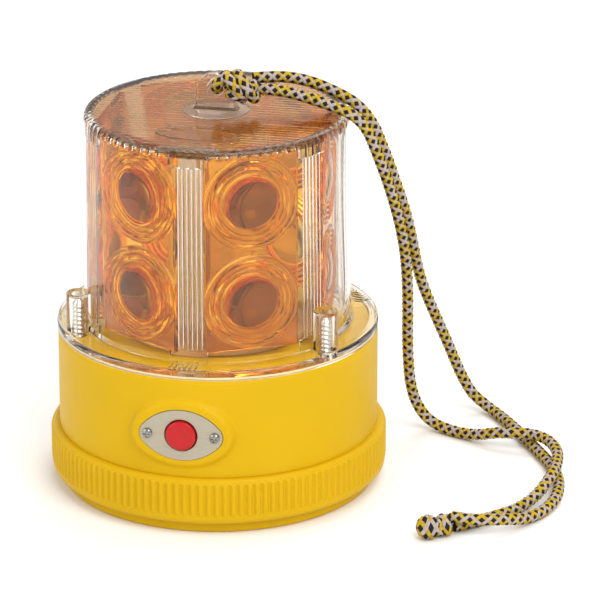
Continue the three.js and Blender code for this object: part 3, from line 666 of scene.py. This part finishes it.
COVER_HIGH = cad("battery_cover")[1]
GRIP_R = COVER_HIGH.x
GRIP_TOP = COVER_HIGH.z
GRIP_RIBS = 132
GRIP_RIB_DEPTH = 0.8
GRIP_SKIN_R = GRIP_R - GRIP_RIB_DEPTH
LIP_R = 55.8
LIP_TOP = 4.4
RIBS_LOW = LIP_TOP + 3.2
RIBS_HIGH = GRIP_TOP - 1.7
BAND_SHARE = 0.55  # height of the smooth bands above and below the ribs, as a share of theirs
SAMPLES_A_RIB = 8
MAGNET_BOLT_R = 2.1


def grip_radius(radius, height, degrees):
    """Rounded upright ribs, which fade at both ends into smooth bands round the cover."""
    if radius < GRIP_SKIN_R - 1e-3:
        return radius
    across = abs(2 * (degrees * GRIP_RIBS / 360 % 1) - 1)
    rise = 1 - smoothstep(0.28, 0.9, across)
    window = smoothstep(RIBS_LOW - 0.4, RIBS_LOW + 0.5, height)
    window *= 1 - smoothstep(RIBS_HIGH - 0.5, RIBS_HIGH + 0.5, height)
    band = BAND_SHARE * (1 - window) * (height > LIP_TOP + 0.5)
    return radius + GRIP_RIB_DEPTH * (rise * window + band)


def make_cover():
    mouth = 56.9
    seat = 19.4  # height of the ledge that the seal lies on
    wiper = 55.9  # a thin edge that hides the seal
    wiper_low = GRIP_TOP - 0.35
    lip_inside = LIP_R - 4
    recess = 1.2  # how far the underside lies above the lip
    bore = 54.1
    floor_top = 3.8
    magnet_pocket, pocket_roof = 25, 7
    magnet_hump, hump_top = 27.5, 9.4
    outline = rounded([
        (0, pocket_roof, 0), (magnet_pocket, pocket_roof, 0.6), (magnet_pocket, recess, 0.4),
        (lip_inside, recess, 0.6), (lip_inside, 0, 0.4), (LIP_R, 0, 1.1), (LIP_R, LIP_TOP, 0.2),
        (GRIP_SKIN_R, LIP_TOP, 1.3), (GRIP_SKIN_R, GRIP_TOP, 1.5), (wiper, GRIP_TOP, 0.1),
        (wiper, wiper_low, 0), (mouth, wiper_low, 0), (mouth, seat, 0), (bore, seat, 0),
        (bore, floor_top, 0), (magnet_hump, floor_top, 0), (magnet_hump, hump_top, 0),
        (0, hump_top, 0),
    ], 4)
    heights = [RIBS_LOW + d for d in (-0.4, -0.1, 0.2, 0.5)]
    heights += [RIBS_HIGH + d for d in (-0.5, -0.2, 0.2, 0.5)]
    heights += [LIP_TOP + 0.6, 10, 13, 16]
    count = GRIP_RIBS * SAMPLES_A_RIB
    cover = turned("battery_cover_shell", with_rows(outline, heights), count, grip_radius)
    combine(cover, rod_z("hole", MAGNET_BOLT_R, -1, 20))
    dress(polished(cover, 50), "cover", "yellow_plastic", "yellow", "battery_cover")

    low, high = cad("cover_seal")
    seal_top = high.z - 0.45
    inside, outside = 54.4, 56.4
    seal = turned("cover_seal_ring", rounded([
        (inside, low.z, 0.4), (outside, low.z, 0.4), (outside, seal_top, 0.4), (inside, seal_top, 0.4),
    ]), 96)
    dress(polished(seal), "cover_carrier", "seal_rubber", "rubber", "cover_seal")


def make_magnet():
    low, high = cad("magnet_cup")
    cup_r = high.x
    cup_inside, cup_roof = 22.8, 5
    cup = turned("magnet_cup_shell", rounded([
        (MAGNET_BOLT_R, cup_roof, 0), (cup_inside, cup_roof, 0.4), (cup_inside, low.z, 0.3),
        (cup_r, low.z, 0.5), (cup_r, high.z, 1.2), (MAGNET_BOLT_R, high.z, 0),
    ]), 96)
    dress(polished(cup), "cover", "bright_steel", "steel", "magnet_cup")
    low, high = cad("magnet_ring")
    hole = 6
    ring = turned("magnet_disc", rounded([
        (hole, low.z, 0.5), (high.x, low.z, 0.6), (high.x, high.z, 0.4), (hole, high.z, 0.4),
    ]), 96)
    dress(polished(ring), "cover", "magnet_ferrite", "ferrite", "magnet_ring")
    low, high = cad("magnet_screw")
    head_r, head_top = high.x, 4.7
    shank_r = 1.7
    screw = turned("magnet_screw_body", rounded([
        (0, low.z, 0), (head_r, low.z, 0.9), (head_r, head_top, 0.1), (shank_r, head_top, 0),
        (shank_r, high.z, 0.4), (0, high.z, 0),
    ]), 48)
    cross_recess(screw, Vector((0, 0, low.z)), "Z", length=4.2, width=0.8, depth=1.1)
    dress(polished(screw), "cover", "bright_steel", "steel", "magnet_screw")


def cross_recess(screw, face, axis, length, width, depth):
    """Cuts a cross slot into a screw head whose face looks down the axis's negative side."""
    for long_way, short_way in ((length, width), (width, length)):
        a, b = long_way / 2, short_way / 2
        if axis == "Z":
            slot = block("slot", face + Vector((-a, -b, -1)), face + Vector((a, b, depth)))
        else:
            slot = block("slot", face + Vector((-a, -1, -b)), face + Vector((a, depth, b)))
        combine(screw, slot)


# ---------- Housing and switch ----------

HOUSING_LOW, HOUSING_HIGH = cad("housing")
SHELL_R = HOUSING_HIGH.x
SHELL_LOW = GRIP_TOP + 0.06
DECK_TOP = HOUSING_HIGH.z
PAD_FACE = -HOUSING_LOW.y
BUTTON_LOW, BUTTON_HIGH = cad("switch_button")
BUTTON_Z = (BUTTON_LOW.z + BUTTON_HIGH.z) / 2
BUTTON_R = 5.3
BEZEL_LOW, BEZEL_HIGH = cad("switch_bezel")
BEZEL_HALF_LENGTH = BEZEL_HIGH.x
BEZEL_HALF_HEIGHT = (BEZEL_HIGH.z - BEZEL_LOW.z) / 2 - 0.3
BEZEL_TIP_R = 4.6
PAD_HALF_LENGTH = BEZEL_HALF_LENGTH + 2.6
PAD_HALF_HEIGHT = BEZEL_HALF_HEIGHT + 1.8
PAD_SPREAD = 26  # the pad lies within these degrees to each side
COLLAR_R = 53.6
BORE_R = 51.2
DECK_LOW = 54
DECK_HOLE_R = 9
SCREW_NODES = ("dome_screw_1", "dome_screw_2", "dome_screw_3")
BEZEL_SCREW_NODES = ("bezel_screw_left", "bezel_screw_right")


def middle(node):
    low, high = cad(node)
    return (low + high) / 2


def pad_radius(radius, height, degrees):
    """Blends the round shell into the flat oval pad round the switch."""
    if radius < COLLAR_R + 1 or abs(degrees) > PAD_SPREAD:
        return radius
    across = PAD_FACE * math.tan(math.radians(degrees)) / PAD_HALF_LENGTH
    reach = math.hypot(across, (height - BUTTON_Z) / PAD_HALF_HEIGHT)
    flat = PAD_FACE / math.cos(math.radians(degrees))
    return radius + (flat - radius) * (1 - smoothstep(0.97, 1.2, reach))


def bezel_outline(grow=0.0, steps=24):
    """Two wide arcs that run smoothly into a small arc at each end."""
    half_height = BEZEL_HALF_HEIGHT + grow
    tip = BEZEL_TIP_R + grow
    tip_x = BEZEL_HALF_LENGTH - BEZEL_TIP_R
    radius = (tip_x**2 + half_height**2 - tip**2) / (2 * (half_height - tip))
    drop = radius - half_height
    reach = math.atan2(tip_x, drop)
    quarter = math.pi / 2
    arcs = [
        (tip_x, 0, tip, 0, quarter - reach), (0, -drop, radius, quarter, reach),
        (-tip_x, 0, tip, 2 * quarter, quarter - reach), (0, drop, radius, 3 * quarter, reach),
    ]
    outline = []
    for x, z, arc_radius, centre, half_sweep in arcs:
        for i in range(steps):
            angle = centre - half_sweep + 2 * half_sweep * i / steps
            height = z + arc_radius * math.sin(angle) + BUTTON_Z
            outline.append((x + arc_radius * math.cos(angle), height))
    return outline


def make_housing():
    outline = rounded([
        (BORE_R, HOUSING_LOW.z, 0.4), (COLLAR_R, HOUSING_LOW.z, 0.8), (COLLAR_R, SHELL_LOW, 0),
        (SHELL_R, SHELL_LOW, 0.08), (SHELL_R, DECK_TOP, 1.4), (DECK_HOLE_R, DECK_TOP, 0.4),
        (DECK_HOLE_R, DECK_LOW, 0.4), (BORE_R, DECK_LOW, 1.2),
    ])
    fine = [i * 0.4 for i in range(-65, 66)]
    angles = fine + [PAD_SPREAD + i * 2 for i in range(1, 154)]
    heights = [22.4 + 0.5 * i for i in range(62)]
    housing = turned("housing_shell", with_rows(outline, heights), angles, pad_radius)
    pocket = prism("pocket", bezel_outline(0.2), -PAD_FACE - 4, -PAD_FACE + 1)
    combine(housing, pocket, rod_y("hole", BUTTON_R + 1.3, -62, -45, 0, BUTTON_Z))
    for node in BEZEL_SCREW_NODES:
        combine(housing, rod_y("hole", 1.3, -60, -52.6, middle(node).x, BUTTON_Z, 24))
    for node in SCREW_NODES:
        place = middle(node)
        combine(housing, rod_z("hole", 2.7, 52, DECK_TOP + 1, place.x, place.y, 32))
    dress(polished(housing, 32), "lamp", "yellow_plastic", "yellow", "housing")


def make_switch():
    front, back = BEZEL_LOW.y, BEZEL_HIGH.y
    bezel = prism("switch_bezel_plate", bezel_outline(), front, back)
    combine(bezel, rod_y("hole", BUTTON_R + 0.6, front - 1, back + 1, 0, BUTTON_Z, 96))
    for node in BEZEL_SCREW_NODES:
        combine(bezel, rod_y("hole", 1.4, front - 1, back + 1, middle(node).x, BUTTON_Z, 32))
    softened(bezel, 0.22, 3)
    dress(polished(bezel, 45), "lamp", "satin_bezel", "satin", "switch_bezel")

    for node in BEZEL_SCREW_NODES:
        low, high = cad(node)
        head_r = (high.x - low.x) / 2
        length = high.y - low.y
        screw = turned(node + "_body", rounded([
            (0, -length, 0), (1, -length, 0.3), (1, -1, 0), (head_r, -1, 0), (head_r, -0.55, 0.2),
            (head_r - 0.7, -0.1, 0.4), (0, 0, 0),
        ]), 48)
        face = Vector((middle(node).x, low.y, BUTTON_Z))
        moved(screw, spin(90, "X"), shift(*face))
        cross_recess(screw, face, "Y", length=2.3, width=0.55, depth=0.55)
        dress(polished(screw, 40), "lamp", "bright_steel", "screw", node)

    length = BUTTON_HIGH.y - BUTTON_LOW.y
    stem_r = 1.5
    skirt_r = BUTTON_R + 0.8
    skirt_back, skirt_front = 4.6, 5.8
    dish = length - 0.3
    button = turned("switch_button_cap", rounded([
        (0, 0, 0), (stem_r, 0, 0.3), (stem_r, skirt_back, 0), (skirt_r, skirt_back, 0.2),
        (skirt_r, skirt_front, 0.2), (BUTTON_R, skirt_front, 0), (BUTTON_R, length - 0.6, 0.5),
        (BUTTON_R - 1.2, length, 1.2), (2, dish, 3), (0, dish, 0),
    ], 8), 96)
    moved(button, spin(90, "X"), shift(0, BUTTON_HIGH.y, BUTTON_Z))
    dress(polished(button, 50), "button", "red_plastic", "red", "switch_button")


# ---------- Clear dome ----------

DOME_LOW, DOME_HIGH = cad("lens_dome")
FLANGE_R = DOME_HIGH.x
FLANGE_LOW = DOME_LOW.z
FLANGE_TOP = FLANGE_LOW + 3.5
DOME_TOP = 136.5
DOME_WALL = 2.4
WALL_R_LOW = 47.3
WALL_R_HIGH = 46.4
COLUMNS = 6
RIBS = 6  # fine ribs on one column
COLUMN_SPREAD = 12.4  # degrees that the ribs of one column cover
RIB_STEP = COLUMN_SPREAD / RIBS / SAMPLES_A_RIB
COLUMN_HALF = RIBS * SAMPLES_A_RIB // 2  # in rib steps
HEADER_HALF = COLUMN_HALF + SAMPLES_A_RIB
HEADER_LOW = DOME_TOP - DOME_WALL - 4.8
FOOT_TOP = FLANGE_TOP + 2.9
FOOT_DEPTH = 0.8
BEADS = 78  # round the inside of the top edge
BEADS_LOW = 132.2
BEAD_DEPTH = 0.8
PAD_R = 12  # a thin round pad under the tab
OVAL_Y = -28.3  # a low oval rim on the top, where the prisms under it are left out
OVAL_OUTSIDE = (15, 6.8)
OVAL_INSIDE = (14.2, 6.0)
RIM_HEIGHT = 0.3
PRISMS_TO = 43.5


def dome_inner_radius(radius, height, degrees):
    """The inside of the wall, with six ribbed columns, their headers and feet, and a beaded rim."""
    beyond_wall = radius > WALL_R_LOW - DOME_WALL + 0.2 or radius < 40
    if beyond_wall or height < FLANGE_LOW + 1.3:
        return radius
    offset = (degrees + 30) % 60 - 30
    step = round(abs(offset) / RIB_STEP, 3)
    depth = 0.0
    if height > HEADER_LOW and step <= HEADER_HALF:
        depth = FOOT_DEPTH + 0.35 * abs(math.sin(math.pi * step / (HEADER_HALF / 2)))
    elif height < FOOT_TOP and step <= HEADER_HALF:
        depth = FOOT_DEPTH
    elif step <= COLUMN_HALF:
        across = abs(2 * (step / SAMPLES_A_RIB % 1) - 1)
        depth = 0.2 + 0.45 * (1 - across**2)
    if height > BEADS_LOW:
        bead = max(0, math.cos(math.radians(degrees * BEADS)))
        depth = max(depth, BEAD_DEPTH * bead * smoothstep(BEADS_LOW, BEADS_LOW + 0.8, height))
    return radius - depth


def dome_angles():
    """Degrees round the dome, close together across each column."""
    edge = HEADER_HALF + 2
    gap = 60 - 2 * edge * RIB_STEP
    gap_steps = 54
    offsets = [k * RIB_STEP for k in range(-edge, edge + 1)]
    offsets += [edge * RIB_STEP + gap * k / gap_steps for k in range(1, gap_steps)]
    return [60 * column + offset for column in range(COLUMNS) for offset in offsets]


def corrugated_top():
    """Fine prisms along X under the top, left out round the tab and in an oval near the front."""
    pitch = 2.5
    depth = 0.6
    crest = 0.2  # half the width of a prism's flat edge
    radius = 42.4
    teeth = int(radius / pitch)
    half = teeth * pitch + pitch / 2
    low = DOME_TOP - DOME_WALL
    root = low - 0.02
    outline = [(half, low + 1), (-half, low + 1)]
    for k in range(-teeth, teeth + 1):
        y = k * pitch
        outline += [(y - pitch / 2, root), (y - crest, low - depth), (y + crest, low - depth)]
    outline.append((half, root))
    sheet = moved(prism("prisms", outline, -radius, radius), spin(90))
    combine(sheet, rod_z("rim", radius, low - 2, low + 2, sides=128), operation="INTERSECT")
    window = moved(oval_rod("window", *OVAL_OUTSIDE, low - 2, low + 3), shift(0, OVAL_Y, 0))
    return combine(sheet, rod_z("clear", PAD_R + 0.2, low - 2, low + 3), window)


def tab_outline():
    """Round-topped tab with a small flare at each side of its foot."""
    half = 7.2
    flare = 2.0
    top = DOME_HIGH.z
    foot = []
    for i in range(7):
        angle = math.pi / 2 * i / 6
        reach = flare * math.sin(angle)
        foot.append((half + flare - reach, DOME_TOP + flare - flare * math.cos(angle)))
    outline = [(-half - flare, DOME_TOP - 1), (half + flare, DOME_TOP - 1), *foot]
    for i in range(33):
        angle = math.pi * i / 32
        outline.append((half * math.cos(angle), top - half + half * math.sin(angle)))
    return outline + [(-x, z) for x, z in reversed(foot)]


def make_tab():
    half_thickness = 2.3
    hole_r, hole_z = 3, 144.6
    tab = prism("tab", tab_outline(), -half_thickness, half_thickness)
    softened(tab, 0.5, 3, 60)
    return combine(tab, rod_y("hole", hole_r, -4, 4, 0, hole_z, 64))


def foot_ribs():
    """Six small ribs on the flange in front of every other column."""
    pitch = 1.75
    half_width = 0.45
    outer, inner = 55.8, 49.8
    ribs = []
    for column in (0, 120, 240):
        for k in range(6):
            x = (k - 2.5) * pitch
            front = (x - half_width, -outer, FLANGE_TOP - 1)
            rib = block("rib", front, (x + half_width, -inner, FLANGE_TOP + 0.7))
            ribs.append(moved(softened(rib, 0.2, 2), spin(column)))
    return ribs


def make_oval_rim():
    rim = oval_rod("rim", *OVAL_OUTSIDE, DOME_TOP - 1, DOME_TOP + RIM_HEIGHT)
    inside = oval_rod("inside", *OVAL_INSIDE, DOME_TOP - 2, DOME_TOP + 1)
    return moved(combine(rim, inside), shift(0, OVAL_Y, 0))


def make_dome():
    low = DOME_TOP - DOME_WALL
    skirt = FLANGE_R - 1.2
    seat = FLANGE_LOW + 1
    tread = FLANGE_TOP - 0.35
    outline = rounded([
        (0, low, 0), (WALL_R_HIGH - DOME_WALL, low, 0.9), (WALL_R_LOW - DOME_WALL, seat, 0.3),
        (skirt, seat, 0.3), (skirt, FLANGE_LOW, 0.2), (FLANGE_R, FLANGE_LOW, 0.3),
        (FLANGE_R, FLANGE_TOP, 1.2), (FLANGE_R - 2.4, FLANGE_TOP, 0.6), (FLANGE_R - 3.2, tread, 0.4),
        (WALL_R_LOW + 0.6, tread, 0.5), (WALL_R_LOW, FLANGE_TOP + 1.2, 0.5),
        (WALL_R_HIGH, DOME_TOP, 2.2), (0, DOME_TOP, 0),
    ], 6)
    heights = [FOOT_TOP - 0.1, FOOT_TOP + 0.1, HEADER_LOW - 0.1, HEADER_LOW + 0.1]
    heights += [BEADS_LOW + 0.4 * i for i in range(8)] + [75, 90, 105, 118]
    dome = turned("lens_dome_shell", with_rows(outline, heights), dome_angles(), dome_inner_radius)
    pad_low, pad_high = DOME_TOP - 1, DOME_TOP + 0.25
    pad = turned("pad", rounded([
        (0, pad_low, 0), (PAD_R, pad_low, 0), (PAD_R, pad_high, 0.2), (0, pad_high, 0),
    ]), 96)
    parts = foot_ribs() + [corrugated_top(), pad, make_tab(), make_oval_rim()]
    boss_r, boss_low, boss_high = 4.35, FLANGE_TOP - 1.5, 74.4
    bore_r, bore_high = 2.5, 72.8
    bores = []
    for node in SCREW_NODES:
        place = middle(node)
        boss = turned("boss", rounded([
            (0, boss_low, 0), (boss_r, boss_low, 0), (boss_r, boss_high, 0.5), (0, boss_high, 0),
        ]), 64)
        parts.append(moved(boss, shift(place.x, place.y, 0)))
        bores.append(rod_z("bore", bore_r, FLANGE_LOW - 1, bore_high, place.x, place.y))
    combine(dome, *parts, operation="UNION")
    combine(dome, *bores)
    dress(polished(dome, 30), "lamp", "clear_plastic", ["clear", "prisms"], "lens_dome")
    # Faces of the prisms under the top take the second finish, whose brownish tint is painted amber
    # light.
    for face in dome.data.polygons:
        place = face.center / MM
        outside = place.z > DOME_TOP + 0.05 or math.hypot(place.x, place.y) > PRISMS_TO
        face.material_index = int(place.z > DOME_TOP - 4 and not outside)
    dome.visible_shadow = False

    low, high = cad("dome_gasket")
    inside = 54
    ring = turned("dome_gasket_ring", rounded([
        (inside, low.z, 0.2), (high.x, low.z, 0.2), (high.x, high.z, 0.2), (inside, high.z, 0.2),
    ]), 128)
    dress(polished(ring), "lamp", "gasket_rubber", "gasket", "dome_gasket")


def make_dome_screws():
    pitch = 1.6
    rows_a_turn = 10
    thread_depth = 0.5
    shank_r = 2.1
    head_r = 3.2
    for node in SCREW_NODES:
        low, high = cad(node)
        head_top = low.z + 2.8
        thread_low = head_top + 1
        thread_high = high.z - 1.6

        def thread(radius, height, degrees, start=thread_low, end=thread_high):
            if radius > shank_r + 0.05 or not start < height < end:
                return radius
            across = abs(2 * ((height / pitch + degrees / 360) % 1) - 1)
            return radius - thread_depth * max(0, across * 1.4 - 0.4)

        outline = rounded([
            (0, low.z, 0), (2.4, low.z, 0.2), (head_r, low.z + 1.2, 0.2), (head_r, head_top, 0.1),
            (shank_r, head_top, 0), (shank_r, thread_high, 0), (0.9, high.z, 0.2), (0, high.z, 0),
        ])
        heights = [thread_low + pitch / rows_a_turn * i for i in range(120)]
        heights = [height for height in heights if height < thread_high]
        screw = turned(node + "_body", with_rows(outline, heights), 48, thread)
        place = middle(node)
        moved(screw, shift(place.x, place.y, 0))
        dress(polished(screw, 40), "lamp", "bright_steel", "steel", node)


# ---------- Lens panels and lamp tower ----------

PANEL_FACE = 39.4  # distance of a panel's outer face from the lamp's axis
PANEL_THICKNESS = 2.2
PANEL_HALF_WIDTH = 16.5
PANEL_LOW = 61.4
PANEL_HIGH = 132.2
LENS_Z = (79, 115)
LENS_RINGS = (10.0, 11.8, 13.6, 15.4, 17.2)
LENS_R = 17.3
BACK_RINGS = ((11.2, 0.1), (11.4, 0.9), (13.6, 0.1), (13.8, 0.8), (17.2, 0.05))  # radius, height
CORE_FRONT = 1.4  # height of the core's crown in front of the face
CORE_BACK = 3.4


def lens_outline():
    """Half section of a stepped lens: radius, and height above the panel's outer face."""
    core_r = LENS_RINGS[0] - 0.5
    arc = [i / 14 for i in range(15)]
    front = [(core_r * t, 0.1 + (CORE_FRONT - 0.1) * (1 - t**2)) for t in arc]
    front.append((core_r + 0.15, -0.5))
    for inner, outer in zip(LENS_RINGS, LENS_RINGS[1:]):
        for i in range(6):
            share = i / 5
            front.append((inner + (outer - inner - 0.15) * share, 0.8 - 1.25 * share**1.6))
        front.append((outer - 0.05, -0.65))
    back = -PANEL_THICKNESS
    rear = [(core_r * t, back - CORE_BACK * (1 - t**2)) for t in arc]
    rear += [(radius, back - height) for radius, height in BACK_RINGS]
    return rear + [(LENS_R, back), (LENS_R, -0.4)] + list(reversed(front))


def behind_core(place):
    """Whether a place is on the crown at the back of a lens."""
    near = any(math.hypot(place.x, place.z - z) < LENS_RINGS[0] - 0.45 for z in LENS_Z)
    return near and place.y > PANEL_THICKNESS - PANEL_FACE + 0.02


def make_lens_panels():
    """Six copies of one panel, which is cut off at its four edges where a lens reaches past them."""
    front = -PANEL_FACE
    back = PANEL_THICKNESS - PANEL_FACE
    half = PANEL_HALF_WIDTH
    panel = block("lens_panel", (-half, front, PANEL_LOW), (half, back, PANEL_HIGH))
    softened(panel, 0.35, 2)
    for z in LENS_Z:
        lens = turned("lens", lens_outline(), 96)
        moved(lens, spin(90, "X"), shift(0, front, z))
        combine(panel, rod_y("seat", LENS_RINGS[-1] - 0.1, front - 2, back + 1, 0, z, 96))
        combine(panel, lens, operation="UNION")
    near = (-half, front - CORE_FRONT - 1, PANEL_LOW)
    limits = block("limits", near, (half, back + CORE_BACK + 1, PANEL_HIGH))
    combine(panel, limits, operation="INTERSECT")
    polished(panel, 30)
    core_faces = [behind_core(face.center / MM) for face in panel.data.polygons]
    for number in range(1, COLUMNS + 1):
        copy = link(f"lens_panel_{number}_moulding", panel.data.copy())
        moved(copy, spin(60 * number - 30))
        dress(copy, "lamp", "amber_plastic", ["amber", "amber_core"], f"lens_panel_{number}")
        copy.data.polygons.foreach_set("material_index", core_faces)
    bpy.data.objects.remove(panel)


def make_leds():
    """White package with a raised yellow phosphor, one for each round lens."""
    reach = cad("led_upper_2")[1].x  # panel 2 faces +X
    half, chip_half = 2.5, 1.5
    front, back = 0.7 - reach, 1.8 - reach
    chip_front, chip_back = 0.02 - reach, 0.9 - reach
    for number in range(1, COLUMNS + 1):
        degrees = 60 * number - 30
        outward = on_circle(1, degrees)
        for row, z in zip(("lower", "upper"), LENS_Z):
            node = f"led_{row}_{number}"
            led = block(node + "_package", (-half, front, z - half), (half, back, z + half))
            softened(led, 0.2, 2)
            near = (-chip_half, chip_front, z - chip_half)
            chip = block("chip", near, (chip_half, chip_back, z + chip_half))
            combine(led, softened(chip, 0.35, 3), operation="UNION")
            moved(polished(led, 50), spin(degrees))
            dress(led, "lamp", "led_phosphor", ["white", "phosphor"], node)
            for side in led.data.polygons:
                raised = side.center.dot(outward) / MM > -front + 0.01
                side.material_index = int(raised)


def refined(node, width, slot, finish):
    """A CAD node's own shape with softened edges."""
    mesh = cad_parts[node].data.copy()
    welded = bmesh.new()
    welded.from_mesh(mesh)
    bmesh.ops.remove_doubles(welded, verts=welded.verts, dist=1e-6)
    almost_flat = math.radians(1)
    bmesh.ops.dissolve_limit(welded, angle_limit=almost_flat, verts=welded.verts, edges=welded.edges)
    welded.to_mesh(mesh)
    welded.free()
    piece = softened(link(node + "_moulding", mesh), width, 2)
    dress(polished(piece), "lamp", slot, finish, node)


def make_inside():
    """Finishes for the CAD shapes inside. Those seen behind the lenses get softer edges too."""
    refined("led_tower", 0.4, "white_plastic", "tower")
    for number in range(1, COLUMNS + 1):
        refined(f"led_board_{number}", 0.12, "board_laminate", "led_board")
    plain = {
        "main_board": "board", "board_inductor": "copper", "board_capacitor": "black",
        "board_chip": "black", "switch_body": "black", "battery_tray": "black",
        "battery_front": "cell", "battery_rear": "cell", "contact_plate_front": "brass",
        "contact_plate_rear": "brass", "contact_spring_front": "steel", "contact_spring_rear": "steel",
        "battery_lead_red": "wire_red", "battery_lead_black": "wire_black", "magnet_nut": "steel",
    }
    for node, finish in plain.items():
        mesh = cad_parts[node].data
        mesh.materials.clear()
        mesh.materials.append(FINISH[finish])


# ---------- The scene ----------

FINISH = make_finishes()
make_camera()
make_lanyard()
make_studio()
make_cover()
make_magnet()
make_housing()
make_switch()
make_dome()
make_dome_screws()
make_lens_panels()
make_leds()
make_inside()
